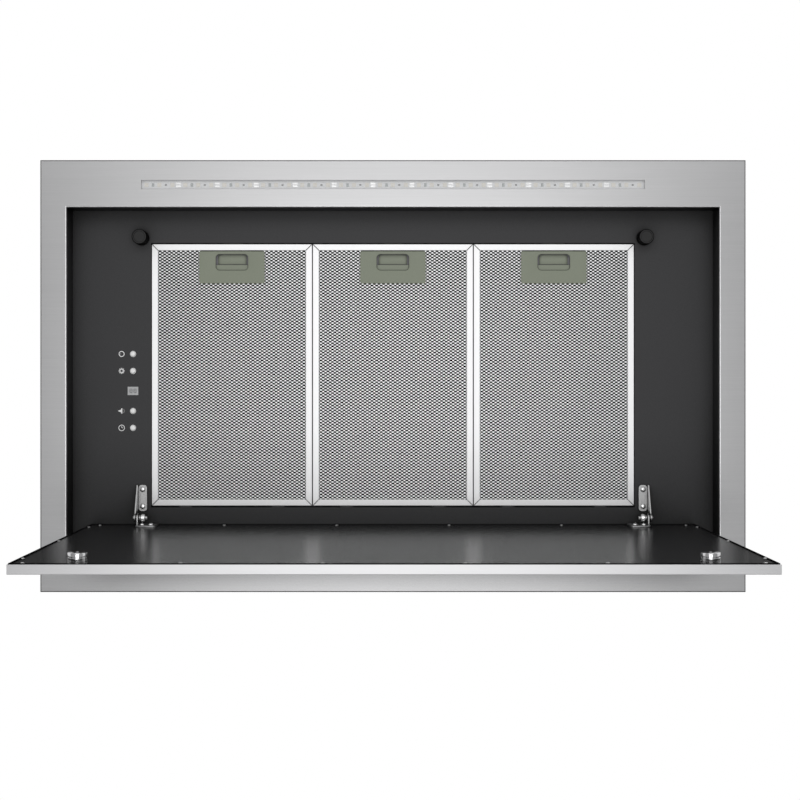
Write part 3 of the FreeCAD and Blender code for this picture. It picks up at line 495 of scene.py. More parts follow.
def whiteSurround():
    # White to the eye and in reflections, dimmer as a source of light
    world = bpy.data.worlds.new("surround")
    world.use_nodes = True
    scene.world = world
    tree = world.node_tree
    background = tree.nodes["Background"]
    background.inputs["Color"].default_value = (1, 1, 1, 1)
    path = tree.nodes.new("ShaderNodeLightPath").outputs
    seen = mathStep(tree, "MAXIMUM", path["Is Camera Ray"], path["Is Transmission Ray"])
    seen = mathStep(tree, "MAXIMUM", seen, path["Is Glossy Ray"])
    tree.links.new(levelFrom(tree, seen, 0.0, 1.0, light["ambient"], 1.0), background.inputs["Strength"])


ground = {"drop": -2.45, "size": 16.0, "dark": (0.776, 0.776, 0.78085), "light": (0.80, 0.80, 0.805),
          "rough": (0.7, 0.85), "scale": 3}


def paleFloor():
    half = ground["size"] / 2
    mesh = bpy.data.meshes.new("floor")
    square = [(-half, -half, 0), (half, -half, 0), (half, half, 0), (-half, half, 0)]
    mesh.from_pydata(square, [], [(0, 1, 2, 3)])
    floor = bpy.data.objects.new("floor", mesh)
    floor.location = (0, 0, ground["drop"])
    scene.collection.objects.link(floor)
    mesh.materials.append(grainFinish("pale floor", ground["dark"], ground["light"], ground["rough"],
                                      scale=ground["scale"], bump=0))


setCamera()
whiteSurround()
paleFloor()
for name in ("under", "front", "above"):
    softBox(name)
scene.view_settings.view_transform = "Standard"
print("camera and light set")


# Grease filters
filters = {
    "middles": (-209.0, 0.0, 209.0), "halfX": 104.1, "front": -171.6, "rear": 168.2,
    "low": 27.0, "high": 37.0, "rail": 8.2, "soft": 0.7, "mitre": 0.25,
    "lugX": 60.0, "lugHalf": 8.0, "lugSeat": 0.5, "lugEnd": 173.2, "lugLow": 28.2, "lugHigh": 30.2,
}


def filterRails(index, x):
    f = filters
    w = f["rail"]
    left, right, front, rear = x - f["halfX"], x + f["halfX"], f["front"], f["rear"]
    outer = [(left, front), (right, front), (right, rear), (left, rear)]
    inner = [(left + w, front + w), (right - w, front + w), (right - w, rear - w), (left + w, rear - w)]
    rails, lugs = Shape(), Shape()
    for k in range(4):
        j = (k + 1) % 4
        along = (Vector(outer[j]) - Vector(outer[k])).normalized() * f["mitre"]
        ends = [Vector(outer[k]) + along, Vector(outer[j]) - along,
                Vector(inner[j]) - along, Vector(inner[k]) + along]
        rails.prism([(*e, f["low"]) for e in ends], (0, 0, f["high"] - f["low"]))
    for side in (-1, 1):
        lug = x + side * f["lugX"]
        lugs.box((lug - f["lugHalf"], rear - f["lugSeat"], f["lugLow"]),
                 (lug + f["lugHalf"], f["lugEnd"], f["lugHigh"]))
    addPiece(f"filterRails{index}", rails, railMetal, f"filter_{index}",
             [f"filter_{index}_frame"], f["soft"], 3)
    addPiece(f"filterLugs{index}", lugs, blackPlastic, f"filter_{index}", bevel=0.4)


sheet = {
    "pitchX": 6.03, "pitchY": 4.05, "holeX": 2.26, "holeY": 1.28, "bowX": 0.66, "bowY": 0.72,
    "low": 27.9, "thick": 0.7, "twist": 0.15, "tuckX": 1.5, "tuckY": 1.0, "spare": 1.0, "back": 36.7,
    "cupX": 41.0, "cupFront": -166.0, "cupRear": -122.0,
    "coreX": 25.0, "coreRear": -127.0, "coreLow": 31.0, "coreHigh": 36.0, "coreTuck": 1,
}


def meshCell(shape, x, y, front):
    # One diamond opening with its four sloped strands, plainer on the back
    a, b = sheet["pitchX"] / 2, sheet["pitchY"] / 2
    hx, hy = sheet["holeX"], sheet["holeY"]
    bx, by = hx * sheet["bowX"], hy * sheet["bowY"]
    low, t = sheet["low"], sheet["twist"]
    outer = [(a, 0), (a / 2, b / 2), (0, b), (-a / 2, b / 2),
             (-a, 0), (-a / 2, -b / 2), (0, -b), (a / 2, -b / 2)]
    inner = [(hx, 0), (bx, by), (0, hy), (-bx, by), (-hx, 0), (-bx, -by), (0, -hy), (bx, -by)]
    if not front:
        outer, inner = outer[::2], inner[::2]
    ring = [(x + p, y + q, low) for p, q in outer]
    edge = [(x + p, y + q, low + t * q / hy) for p, q in inner]
    deep = [(x + p, y + q, low + sheet["thick"] + t * q / hy) for p, q in inner]
    shape.rings([ring, edge, deep] if front else [ring, edge])


def meshSheet(front):
    # Staggered openings over one filter, about its own middle
    made = Shape()
    f = filters
    reachX = f["halfX"] - f["rail"] + sheet["tuckX"]
    low, high = f["front"] + f["rail"] - sheet["tuckY"], f["rear"] - f["rail"] + sheet["tuckY"]
    rows = int((high - low) / (sheet["pitchY"] / 2))
    columns = int(reachX / sheet["pitchX"]) + 1
    for row in range(rows + 1):
        y = low + row * sheet["pitchY"] / 2
        shift = sheet["pitchX"] / 2 if row % 2 else 0
        for column in range(-columns, columns + 1):
            x = column * sheet["pitchX"] + shift
            inCup = front and abs(x) < sheet["cupX"] and sheet["cupFront"] < y < sheet["cupRear"]
            if abs(x) <= reachX + sheet["spare"] and not inCup:
                meshCell(made, x, y, front)
    return made


def meshCore(index, x):
    # Dark boxes behind the openings, painted as the shade inside the layered mesh, left out where the
    # handle's well stands
    core = Shape()
    f = filters
    low, high, tuck = sheet["coreLow"], sheet["coreHigh"], sheet["coreTuck"]
    side = f["halfX"] - f["rail"] + tuck
    core.box((x - side, sheet["coreRear"], low), (x + side, f["rear"] - f["rail"] + tuck, high))
    for s in (-1, 1):
        ends = sorted((x + s * sheet["coreX"], x + s * side))
        core.box((ends[0], f["front"] + f["rail"] - tuck, low), (ends[1], sheet["coreRear"], high))
    addPiece(f"meshCore{index}", core, meshShadeMetal, f"filter_{index}", [f"filter_{index}_mesh"])


def filterMesh():
    shared = {}
    for name, front, rise in (("meshSheet", True, 0.0), ("meshBack", False, sheet["back"] - sheet["low"])):
        made = meshSheet(front)
        shared[name] = bpy.data.meshes.new(name)
        shared[name].from_pydata([Vector((x, y, z + rise)) * mm for x, y, z in made.verts], [], made.faces)
        shared[name].materials.append(meshMetal)
    for index, x in enumerate(filters["middles"], 1):
        for name, mesh in shared.items():
            obj = bpy.data.objects.new(f"{name}{index}", mesh)
            obj.location = (x * mm, 0, 0)
            scene.collection.objects.link(obj)
            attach(obj, f"filter_{index}")
        meshCore(index, x)
    print("mesh openings per filter:", len(made.faces) // 4)


# Each edge is a row of (offset, height over the face)
handle = {
    "halfX": 42.5, "front": -162.4, "rear": -120.6, "corner": 2.5, "low": 26.4, "high": 27.8,
    "rim": ((0.0, 0.5), (0.4, 0.06), (0.9, 0.0)),
    "gripX": 21.0, "gripFront": -158.6, "gripRear": -137.6, "gripCorner": 5.0,
    "gripRim": ((0.8, 0.0), (0.25, 0.15), (0.0, 0.6)),
    "wellRear": 8.5, "wellCurve": 4.5, "wellCorner": 3.0, "wellSteps": 6, "floor": 33.3,
}


def filterHandle(index, x):
    h = handle
    low, high = h["low"], h["high"]
    plate, well = Shape(), Shape()

    def outline(inset, z):
        halfY = (h["rear"] - h["front"]) / 2
        return roundRect(x, (h["front"] + h["rear"]) / 2, h["halfX"] - inset, halfY - inset, h["corner"], z)

    def opening(spread, z):
        halfY = (h["gripRear"] - h["gripFront"]) / 2
        return roundRect(x, (h["gripFront"] + h["gripRear"]) / 2, h["gripX"] + spread, halfY + spread,
                         h["gripCorner"], z)

    rim = [outline(inset, low + rise) for inset, rise in h["rim"]]
    gripRim = [opening(spread, low + rise) for spread, rise in h["gripRim"]]
    plate.rings([outline(0, high)] + rim + gripRim + [opening(0, high), outline(0, high)])
    addPiece(f"filterHandle{index}", plate, olivePlastic, f"filter_{index}",
             [f"filter_{index}_handle"], smooth=40)
    rear = h["gripRear"] + h["wellRear"]
    y = (h["gripFront"] + rear) / 2
    halfY = (rear - h["gripFront"]) / 2
    loops = []
    for k in range(h["wellSteps"] + 1):
        a = math.pi / 2 * k / h["wellSteps"]
        shrink = h["wellCurve"] * (1 - math.cos(a))
        z = high + (h["floor"] - high) * math.sin(a)
        loops.append(roundRect(x, y, h["gripX"] - shrink, halfY - shrink * 0.5, h["wellCorner"], z))
    well.rings(loops, capEnd=True)
    addPiece(f"filterWell{index}", well, wellShadePlastic, f"filter_{index}", smooth=50)


latch = {
    "split": -144.6, "rear": -136.4, "lip": -138.1, "lipThick": 1.6, "low": 28.0, "high": 32.8, "halfX": 20.4,
    "boltX": 13.0, "boltTip": -172.7, "boltLow": 31.2, "boltHigh": 33.2,
    "slideX": 18.6, "slideFront": -157.6, "gap": 1.0, "corner": 4.0,
    "slope": 5.0, "slopeRise": 1.5, "slopeSteps": 4,
}


def filterLatch(index, x):
    tab = Shape()
    n = latch
    lip = [(x + n["halfX"], n["split"], n["low"])]
    for side, start in ((1, 0), (-1, 90)):
        for k in range(7):
            a = math.radians(start + 15 * k)
            lip.append((x + side * (n["halfX"] - n["corner"]) + n["corner"] * math.cos(a),
                        n["lip"] - n["corner"] + n["corner"] * math.sin(a), n["low"]))
    lip.append((x - n["halfX"], n["split"], n["low"]))
    tab.prism(lip, (0, 0, n["lipThick"]))
    tab.box((x - n["halfX"], n["split"], n["low"] + n["lipThick"]), (x + n["halfX"], n["rear"], n["high"]))
    tab.box((x - n["boltX"], n["boltTip"], n["boltLow"]), (x + n["boltX"], n["slideFront"], n["boltHigh"]))
    loops = []
    front, rear = n["slideFront"], n["split"] - n["gap"]
    for k in range(n["slopeSteps"] + 1):
        a = math.pi / 2 * k / n["slopeSteps"]
        half = n["slideX"] - n["slope"] * (1 - math.sin(a))
        z = n["boltLow"] + n["slopeRise"] * (1 - math.cos(a))
        loops.append([(x - half, front, z), (x + half, front, z), (x + half, rear, z), (x - half, rear, z)])
    loops.append([(q[0], q[1], n["boltHigh"]) for q in loops[-1]])
    tab.rings(loops, True, True)
    addPiece(f"filterLatch{index}", tab, olivePlastic, f"latch_{index}",
             [f"filter_{index}_latch"], 0.5, 2)


for index, x in enumerate(filters["middles"], 1):
    filterRails(index, x)
    filterHandle(index, x)
    filterLatch(index, x)
filterMesh()
print("filters made")


# Light strip: each kind of chip has its half size, its rise and its places along one unit
strip = {
    "y": -243.8, "face": -5.9, "pitch": 49.62, "units": 12, "shift": -0.6,
    "pad": (3.3, 1.5), "padGap": 0.5, "padRise": 0.8,
    "lamp": (2.6, 2.6), "lampRise": 0.6, "lampAt": (8.9, 25.3, 41.9),
    "resistor": (1.6, 2.2), "resistorRise": 0.6, "resistorAt": 17.2,
    "dot": (1.3, 1.0), "dotRise": 0.5, "dotAt": 33.5,
}


def lightStrip():
    s = strip
    pads, lamps, chips, dots = Shape(), Shape(), Shape(), Shape()
    first = s["shift"] - (s["units"] - 1) / 2 * s["pitch"]

    def block(shape, x, half, rise, y=0.0):
        shape.box((x - half[0], s["y"] + y - half[1], s["face"] - rise),
                  (x + half[0], s["y"] + y + half[1], s["face"]))

    for unit in range(-1, s["units"]):
        x = first + unit * s["pitch"]
        if unit >= 0:
            for side in (-1, 1):
                block(pads, x, s["pad"], s["padRise"], side * (s["pad"][1] + s["padGap"] / 2))
        for step in s["lampAt"]:
            block(lamps, x + step, s["lamp"], s["lampRise"])
        block(chips, x + s["resistorAt"], s["resistor"], s["resistorRise"])
        block(dots, x + s["dotAt"], s["dot"], s["dotRise"])
    addPiece("stripPads", pads, padTin, "hood", ["led_emitters"], 0.25)
    addPiece("stripLamps", lamps, phosphor, "hood", bevel=0.25)
    addPiece("stripChips", chips, chipBody, "hood", bevel=0.15)
    addPiece("stripDots", dots, darkDot, "hood", bevel=0.15)


lightStrip()
print("light strip made")


# Catches and studs, turned forms: an edge is a row of (inset, height from the tip)
catches = {"x": 326.0, "y": -179.5, "base": 27.0, "tip": 6.6, "radius": 9.75,
           "edge": ((0.0, -1.4), (0.3, -0.6), (1.0, -0.1), (1.6, 0.0), (2.4, 0.0), (2.8, -0.5), (3.4, -0.5))}


def panelCatches():
    made = Shape()
    c = catches
    tall = c["base"] - c["tip"]
    edge = [(c["radius"] - inset, tall + rise) for inset, rise in c["edge"]]
    profile = [(c["radius"], 0)] + edge + [(closed, edge[-1][1])]
    for side in (-1, 1):
        made.lathe(profile, (side * c["x"], c["y"], c["base"]), (0, 0, -1), 56)
    addPiece("panelCatches", made, blackRubber, "hood", ["panel_catches"], smooth=35)


studs = {"x": 326.0, "face": 192.5, "z": -354.5, "radius": 10.0, "tall": 9.5, "groove": 0.45}


def panelStuds():
    # Two rounded discs with a groove between them, and a small point in the middle
    made = Shape()
    r, t = studs["radius"], studs["tall"]
    g, w = t / 2, studs["groove"]
    profile = [(r - 0.4, 0), (r, 0.4), (r, g - w - 0.25), (r - 0.2, g - w), (r - 0.9, g - w),
               (r - 0.9, g + w), (r - 0.2, g + w), (r, g + w + 0.25), (r, t - 0.7), (r - 0.3, t - 0.2),
               (r - 0.9, t), (1.6, t), (1.5, t + 0.25), (0.9, t + 0.4), (closed, t + 0.45)]
    for side in (-1, 1):
        made.lathe(profile, (side * studs["x"], studs["face"], studs["z"]), (0, -1, 0), 64)
    addPiece("panelStuds", made, polishedMetal, "panel", ["panel_studs"], smooth=35)


panelCatches()
panelStuds()
print("catches and studs made")


# Buttons, signs and display
controls = {"x": -337.5, "back": 27.0, "buttons": (-29.0, -7.0, 45.0, 67.0), "radius": 3.15, "sink": 1.0,
            "proud": 1.6, "flange": 5.0, "flangeBack": 2.2, "signX": -352.2, "displayY": 19.0}


def pushButtons():
    c = controls
    r, s, p, w = c["radius"], c["sink"], c["proud"], c["flange"]
    profile = [(r, 0), (r, s + p * 0.45), (r - 0.25, s + p * 0.75), (r - 0.9, s + p * 0.95), (1.6, s + p),
               (closed, s + p)]
    front, back = c["back"] + s, c["back"] + c["flangeBack"]
    for index, y in enumerate(c["buttons"], 1):
        made = Shape()
        made.lathe(profile, (c["x"], y, front), (0, 0, -1), 40)
        made.box((c["x"] - w, y - w, front), (c["x"] + w, y + w, back))
        addPiece(f"pushButton{index}", made, whitePlastic, f"button_{index}", [f"button_{index}"],
                 smooth=35)


# Rings are (outer, inner) radii, outlines are offsets from the sign's middle
signs = {
    "ink": 0.1, "dial": (3.8, 2.8), "wedge": ((0, 0), (-2.6, -1.5), (-2.9, 0), (-2.6, 1.5)),
    "toothed": (3.1, 1.6), "teeth": 8, "toothAt": 3.2, "tooth": (0.6, 0.75),
    "shade": ((-5.0, 0), (-0.6, -1.9), (-0.6, 1.9)), "base": ((-0.6, -3.4), (0.9, 3.4)),
    "glowX": 0.9, "glow": (3.2, 2.0), "glowSpan": (-70, 70),
    "clock": (4.1, 3.3), "hands": (((-0.35, -2.4), (0.35, 0.35)), ((-0.35, -0.35), (1.8, 0.35))),
}


def flatRing(shape, x, y, z, outer, inner, start=0.0, end=360.0, steps=40):
    # Thin printed ring or arc
    count = steps if end - start >= 360 else steps + 1
    rise = -signs["ink"]
    verts, faces = [], []
    for radius, depth in ((inner, rise), (outer, rise), (outer, 0), (inner, 0)):
        for k in range(count):
            a = math.radians(start + (end - start) * k / steps)
            verts.append((x + radius * math.cos(a), y + radius * math.sin(a), z + depth))
    for k in range(steps):
        j = (k + 1) % count
        for m in range(4):
            n = (m + 1) % 4
            faces.append((m * count + k, m * count + j, n * count + j, n * count + k))
    shape.add(verts, faces)


def controlSigns():
    s = signs
    x, z = controls["signX"], controls["back"]
    timerY, fanY, lampY, powerY = controls["buttons"]
    ink, faint = Shape(), Shape()
    rise = (0, 0, -s["ink"])

    def bar(y, corners):
        (x0, y0), (x1, y1) = corners
        ink.box((x + x0, y + y0, z - s["ink"]), (x + x1, y + y1, z))

    # Timer: dial with a shaded wedge
    flatRing(ink, x, timerY, z, *s["dial"])
    faint.prism([(x + dx, timerY + dy, z) for dx, dy in s["wedge"]], rise)
    # Speed: ring with teeth
    flatRing(ink, x, fanY, z, *s["toothed"])
    for k in range(s["teeth"]):
        a = 2 * math.pi / s["teeth"] * k
        middle = Vector((x + s["toothAt"] * math.cos(a), fanY + s["toothAt"] * math.sin(a), z))
        u = Vector((math.cos(a), math.sin(a), 0)) * s["tooth"][0]
        v = Vector((-math.sin(a), math.cos(a), 0)) * s["tooth"][1]
        ink.prism([middle - u - v, middle + u - v, middle + u + v, middle - u + v], rise)
    # Lamp: shade and glow
    ink.prism([(x + dx, lampY + dy, z) for dx, dy in s["shade"]], rise)
    bar(lampY, s["base"])
    flatRing(faint, x + s["glowX"], lampY, z, *s["glow"], *s["glowSpan"], 20)
    # Clock: ring with two hands
    flatRing(ink, x, powerY, z, *s["clock"])
    for hand in s["hands"]:
        bar(powerY, hand)
    addPiece("controlSigns", ink, iconInk, "hood", smooth=0)
    addPiece("controlSignsFaint", faint, iconFaint, "hood", smooth=0)


digits = {"apart": 2.6, "halfWide": 1.5, "step": 1.9, "stroke": 0.35, "ink": 0.05}


def displayDigits():
    # Seven plain segments, twice
    made = Shape()
    w, h, t = digits["halfWide"], digits["step"], digits["stroke"]
    y, top = controls["displayY"], controls["back"]
    z = top - digits["ink"]
    for dx in (-digits["apart"], digits["apart"]):
        x = controls["x"] + dx
        for row in (-1, 0, 1):
            made.box((x - w, y + row * h * 1.25 - t, z), (x + w, y + row * h * 1.25 + t, top))
        for sx in (-1, 1):
            for sy in (-1, 1):
                mid = y + sy * h * 0.62
                made.box((x + sx * w - t, mid - h * 0.45, z), (x + sx * w + t, mid + h * 0.45, top))
    addPiece("displayDigits", made, digitInk, "hood", smooth=0)


pushButtons()
controlSigns()
displayDigits()
print("controls made")


# Panel screws and hinges
hinges = {
    "x": 331.2, "pivotY": 182.0, "pivotZ": 7.0, "back": 27.0,
    "sheet": 2.0, "gap": 1.5, "corner": 4.0, "ear": 5.5,
    "baseWidth": 13.3, "baseFront": 141.0, "baseRear": 175.0, "baseLip": 2.2,
    "panelFace": 192.5, "armTop": 21.3, "armLength": 31.3, "armWidth": 26.4, "armOverlap": 0.5,
    "screw": 3.4, "screwX": 324.55, "screwY": (147.0, 169.0), "screwTall": 1.6,
    "armScrews": ((322.0, 5.65), (310.7, 5.65)), "armScrewTall": 2.1,
}


def domeScrew(shape, seat, axis, radius, tall, sides=28):
    r, t = radius, tall
    shape.lathe([(r, 0), (r, t * 0.25), (r * 0.93, t * 0.55), (r * 0.72, t * 0.85), (r * 0.42, t),
                 (r * 0.30, t), (r * 0.22, t * 0.6), (closed, t * 0.55)], seat, axis, sides)


def roundScrew(shape, seat, axis, radius, tall):
    # High round head with a small socket
    profile = [(radius, 0)]
    for k in range(1, 7):
        a = math.radians(13 * k)
        profile.append((radius * math.cos(a), tall * math.sin(a)))
    shape.lathe(profile + [(radius * 0.18, tall * 0.7), (closed, tall * 0.68)], seat, axis, 32)


panelScrew = {"rowX": (72.5, 217.5, 378.0), "rowZ": (15.0, -372.0), "sideX": 387.6,
              "sideZ": (-8.0, -171.0, -334.0), "radius": 2.2, "tall": 1.2}


def panelScrews():
    made = Shape()
    p = panelScrew
    for x, z in [(x, z) for x in p["rowX"] for z in p["rowZ"]] + [(p["sideX"], z) for z in p["sideZ"]]:
        for side in (-1, 1):
            domeScrew(made, (side * x, hinges["panelFace"], z), (0, -1, 0), p["radius"], p["tall"], 20)
    addPiece("panelScrews", made, satinPlate, "panel", ["panel_screws"], smooth=40)


def pivotEye(x, start, turn):
    # Half round about the pivot
    h = hinges
    points = []
    for k in range(13):
        a = math.radians(start + turn * k / 12)
        points.append((x, h["pivotY"] + h["ear"] * math.cos(a), h["pivotZ"] + h["ear"] * math.sin(a)))
    return points


def hingeBases():
    h = hinges
    s = h["sheet"]
    made, screws = Shape(), Shape()
    outer = h["x"] - s / 2
    low = h["back"] - s
    front, rear = h["baseFront"], h["baseRear"]
    foot = [(outer, front, low - h["baseLip"]), (outer, front, h["back"]), (outer, rear, h["back"])]
    made.prism(foot + pivotEye(outer, 0, -180), (s, 0, 0))
    inner = outer + s - h["baseWidth"]
    made.prism(roundRect((inner + outer) / 2, (front + rear) / 2, (outer - inner) / 2, (rear - front) / 2,
                         h["corner"], low, 5), (0, 0, s))
    for y in h["screwY"]:
        roundScrew(screws, (h["screwX"], y, low), (0, 0, -1), h["screw"], h["screwTall"])
    addPiece("hingeBases", bothSides(made), satinPlate, "hood", ["hinge_bases"], 0.35, 2)
    addPiece("hingeTrayScrews", bothSides(screws), brightMetal, "hood",
             ["hinge_tray_screws"], smooth=40)


def hingeArms():
    h = hinges
    s = h["sheet"]
    made, screws = Shape(), Shape()
    outer = h["x"] - s / 2 - h["gap"] - s
    face = h["panelFace"] - s
    foot = [(outer, face + h["armOverlap"], h["pivotZ"] + way * h["ear"]) for way in (-1, 1)]
    made.prism(pivotEye(outer, 90, 180) + foot, (s, 0, 0))
    midX = outer + s - h["armWidth"] / 2
    midZ = h["armTop"] - h["armLength"] / 2
    plate = roundRect(midX, midZ, h["armWidth"] / 2, h["armLength"] / 2, h["corner"], 0, 5)
    made.prism([(p[0], face, p[1]) for p in plate], (0, s, 0))
    for x, z in h["armScrews"]:
        roundScrew(screws, (x, face, z), (0, -1, 0), h["screw"], h["armScrewTall"])
    addPiece("hingeArms", bothSides(made), satinPlate, "panel", ["hinge_arms"], 0.35, 2)
    addPiece("hingePanelScrews", bothSides(screws), brightMetal, "panel",
             ["hinge_panel_screws"], smooth=40)


# Turned profiles of (radius, height), the nut and the spacer measured from inside the arm's lug
pins = {
    "head": [(3.0, 0), (3.0, 0.8), (2.7, 1.3), (2.0, 1.6), (closed, 1.6)],
    "shank": [(2.5, 0), (2.5, 16.4), (2.2, 16.9), (closed, 17.1)],
    "nut": [(2.6, 3.3), (4.3, 3.3), (4.7, 3.8), (4.7, 7.6), (4.3, 8.2), (3.2, 8.4), (2.6, 8.4)],
    "spacer": [(2.6, 0), (3.3, 0), (3.5, 0.3), (3.5, 2.9), (3.3, 3.2), (2.6, 3.2)],
    "start": 1.7, "sides": 36,
}


def hingePins():
    h = hinges
    bolt, nut, spacer = Shape(), Shape(), Shape()
    outer = h["x"] + h["sheet"] / 2
    seat = (outer, h["pivotY"], h["pivotZ"])
    lug = (outer - 2 * h["sheet"] - pins["start"], h["pivotY"], h["pivotZ"])
    bolt.lathe(pins["head"], seat, (1, 0, 0), pins["sides"])
    bolt.lathe(pins["shank"], seat, (-1, 0, 0), pins["sides"])
    nut.lathe(pins["nut"], lug, (-1, 0, 0), pins["sides"], True)
    spacer.lathe(pins["spacer"], lug, (-1, 0, 0), pins["sides"], True)
    addPiece("hingeBolts", bothSides(bolt), satinPlate, "hood", ["hinge_bolts"], smooth=35)
    addPiece("hingeNuts", bothSides(nut), brightMetal, "hood", ["hinge_nuts"], smooth=35)
    addPiece("hingeSpacers", bothSides(spacer), satinPlate, "hood", smooth=35)


panelScrews()
hingeBases()
hingeArms()
hingePins()
print("hinges and screws made")


# Upper side, above the ceiling
housing = {
    "halfX": 436.0, "halfY": 262.0, "low": 2.0, "lip": 282.0, "top": 300.0, "lap": 22.0, "sheet": 0.8,
    "rivet": 2.6, "rise": 1.1, "levels": (50.0, 130.0, 210.0), "longRow": (9, 100.0), "shortRow": (5, 105.0),
}


def popRivet(shape, seat, axis):
    r, t = housing["rivet"], housing["rise"]
    shape.lathe([(r, 0), (r, t * 0.3), (r * 0.82, t * 0.8), (r * 0.5, t), (r * 0.4, t * 0.6),
                 (closed, t * 0.55)], seat, axis, 18)


def spreadOut(row):
    count, pitch = row
    return [(k - (count - 1) / 2) * pitch for k in range(count)]


def housingSeams():
    # Folded edge of the top plate, lapped corners on the short sides, and the rivets that hold them
    h = housing
    s = h["sheet"]
    x, y, top = h["halfX"], h["halfY"], h["top"]
    laps, rivets = Shape(), Shape()
    fold = ((0.0, 0.4, h["lip"]), (s, 1.2, h["lip"]), (s, 1.2, top - 0.4), (0.4, 1.0, top + 0.1),
            (-1.5, 0.8, top + 0.1))  # spread, corner, height
    laps.rings([roundRect(0, 0, x + out, y + out, corner, z, 3) for out, corner, z in fold])
    middle = (h["lip"] + top) / 2
    for side in (-1, 1):
        for along in spreadOut(h["longRow"]):
            popRivet(rivets, (along, side * (y + s), middle), (0, side, 0))
        for along in spreadOut(h["shortRow"]):
            popRivet(rivets, (side * (x + s), along, middle), (side, 0, 0))
        for end in (-1, 1):
            near, far = sorted((end * (y - h["lap"]), end * y))
            inner, outer = sorted((side * x, side * (x + s)))
            laps.box((inner, near, h["low"]), (outer, far, h["lip"]))
            for level in h["levels"]:
                popRivet(rivets, (side * (x + s), end * (y - h["lap"] / 2), level), (side, 0, 0))
    addPiece("housingLaps", laps, zincCoat, "hood", smooth=35)
    addPiece("housingRivets", rivets, satinPlate, "hood", smooth=40)


fixings = {
    "collar": (0.0, 30.0, 301.0), "collarReach": 81.0, "collarScrew": (3.4, 1.9),
    "foot": (316.0, 190.0, 302.5), "footPitch": 11.0,
    "washer": [(6.2, 0), (6.2, 0.9), (5.9, 1.2), (closed, 1.2)],
    "hexHead": [(4.9, 1.2), (4.9, 4.3), (4.3, 4.9), (closed, 4.9)],
}
corners = [(sx, sy) for sx in (-1, 1) for sy in (-1, 1)]


def upperFixings():
    # Screws in the corners of the collar's flange, and washers with hexagon bolts on the hanger feet
    made = Shape()
    x, y, z = fixings["collar"]
    reach = fixings["collarReach"]
    for sx, sy in corners:
        roundScrew(made, (x + sx * reach, y + sy * reach, z), (0, 0, 1), *fixings["collarScrew"])
    fx, fy, fz = fixings["foot"]
    for sx, sy in corners:
        for step in (-1, 1):
            seat = (sx * fx, sy * fy + step * fixings["footPitch"], fz)
            made.lathe(fixings["washer"], seat, (0, 0, 1), 32)
            made.lathe(fixings["hexHead"], seat, (0, 0, 1), 6)
    addPiece("upperFixings", made, satinPlate, "hood", smooth=30)


gland = {"place": (-280.0, 10.0, 300.0), "bore": 4.5, "ribs": 20, "flute": 0.55}


def cableGland():
    # Hexagon body, ribbed clamping nut and a rounded lip around the bore
    made = Shape()
    g = gland
    b, f = g["bore"], g["flute"]
    made.lathe([(b, 0), (12.4, 0), (12.7, 0.4), (12.7, 6.2), (12.0, 6.8), (b, 6.8)],
               g["place"], (0, 0, 1), 6, True)
    made.lathe([(b, 6.8), (10.8, 6.8, f), (11.0, 7.4, f), (11.0, 15.2, f), (10.2, 17.2, f), (8.6, 18.9),
                (6.6, 19.8), (5.2, 19.8), (b, 19.2)], g["place"], (0, 0, 1), g["ribs"] * 4, True)
    addPiece("cableGland", made, blackPlastic, "hood", ["cable_gland"], smooth=32)


housingSeams()
upperFixings()
cableGland()
print("upper side made")


# Inner pieces
inside = {
    "motor": (45.0, -39.5, 162.0), "fins": 28, "fin": 1.3,
    "inlet": (-45.0, -39.5, 162.0), "inletRadius": 58.0,
    "case": ((45.0, 42.5, 203.0), (65.0, 74.5, 245.0)),
    "caseFoot": ((46.0, 43.5, 199.0), (64.0, 73.5, 203.2)),
}


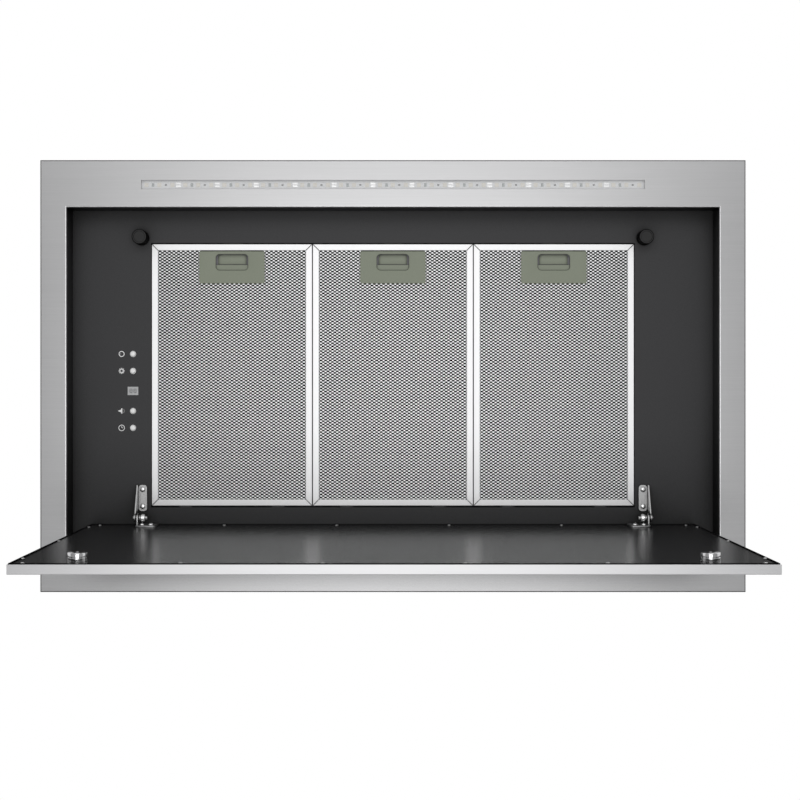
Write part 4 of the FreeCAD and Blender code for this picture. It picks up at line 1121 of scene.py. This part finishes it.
def motorCan():
    # Mounting flange, finned body and a domed end with its bearing boss
    made = Shape()
    f = inside["fin"]
    made.lathe([(40.0, 0), (40.0, 3.0), (37.0, 3.6), (37.0, 6.4), (38.2, 7.0), (39.8, 8.0, f),
                (39.8, 46.0, f), (38.2, 47.0), (38.2, 49.0), (37.4, 52.0), (33.5, 56.5), (31.0, 57.6),
                (13.4, 58.0), (12.6, 58.6), (12.6, 63.0), (11.8, 64.0), (closed, 64.0)],
               inside["motor"], (1, 0, 0), inside["fins"] * 4)
    addPiece("motorCan", made, zincCoat, "hood", ["motor"], smooth=30)


def inletLip():
    # Rolled edge around the wheel's air inlet
    made = Shape()
    r = inside["inletRadius"]
    made.lathe([(r, 0), (r + 0.3, 1.6), (r + 1.4, 3.0), (r + 3.2, 3.6), (r + 5.2, 3.2), (r + 7.0, 1.8),
                (r + 8.5, 0)], inside["inlet"], (-1, 0, 0), 72, True)
    addPiece("inletLip", made, zincCoat, "hood", smooth=40)


# Steps of the lid are (inset, corner, drop)
lid = {"place": (-280.0, 10.0, 249.0), "half": (80.0, 60.0),
       "screwInset": 7.0, "screwDrop": 2.0, "screw": (3.6, 1.8),
       "steps": ((0, 4.0, 0), (0, 4.0, 1.4), (0.6, 4.0, 2.0), (14, 6.0, 2.0), (15, 6.0, 3.2))}


def boxLid():
    # Moulded lid with a raised middle, and its four screws
    made, screws = Shape(), Shape()
    x, y, z = lid["place"]
    halfX, halfY = lid["half"]
    made.rings([roundRect(x, y, halfX - inset, halfY - inset, corner, z - drop)
                for inset, corner, drop in lid["steps"]], True, True)
    inset = lid["screwInset"]
    for sx, sy in corners:
        seat = (x + sx * (halfX - inset), y + sy * (halfY - inset), z - lid["screwDrop"])
        domeScrew(screws, seat, (0, 0, -1), *lid["screw"])
    addPiece("boxLid", made, blackPlastic, "hood", ["control_box_lid"], smooth=35)
    addPiece("lidScrews", screws, brightMetal, "hood", smooth=40)


def capacitorCase():
    made = Shape()
    made.box(*inside["case"])
    made.box(*inside["caseFoot"])
    addPiece("capacitorCase", made, whitePlastic, "hood", ["capacitor"], 1.6, 3)


motorCan()
inletLip()
boxLid()
capacitorCase()
print("inner pieces made")

print("pieces finished")
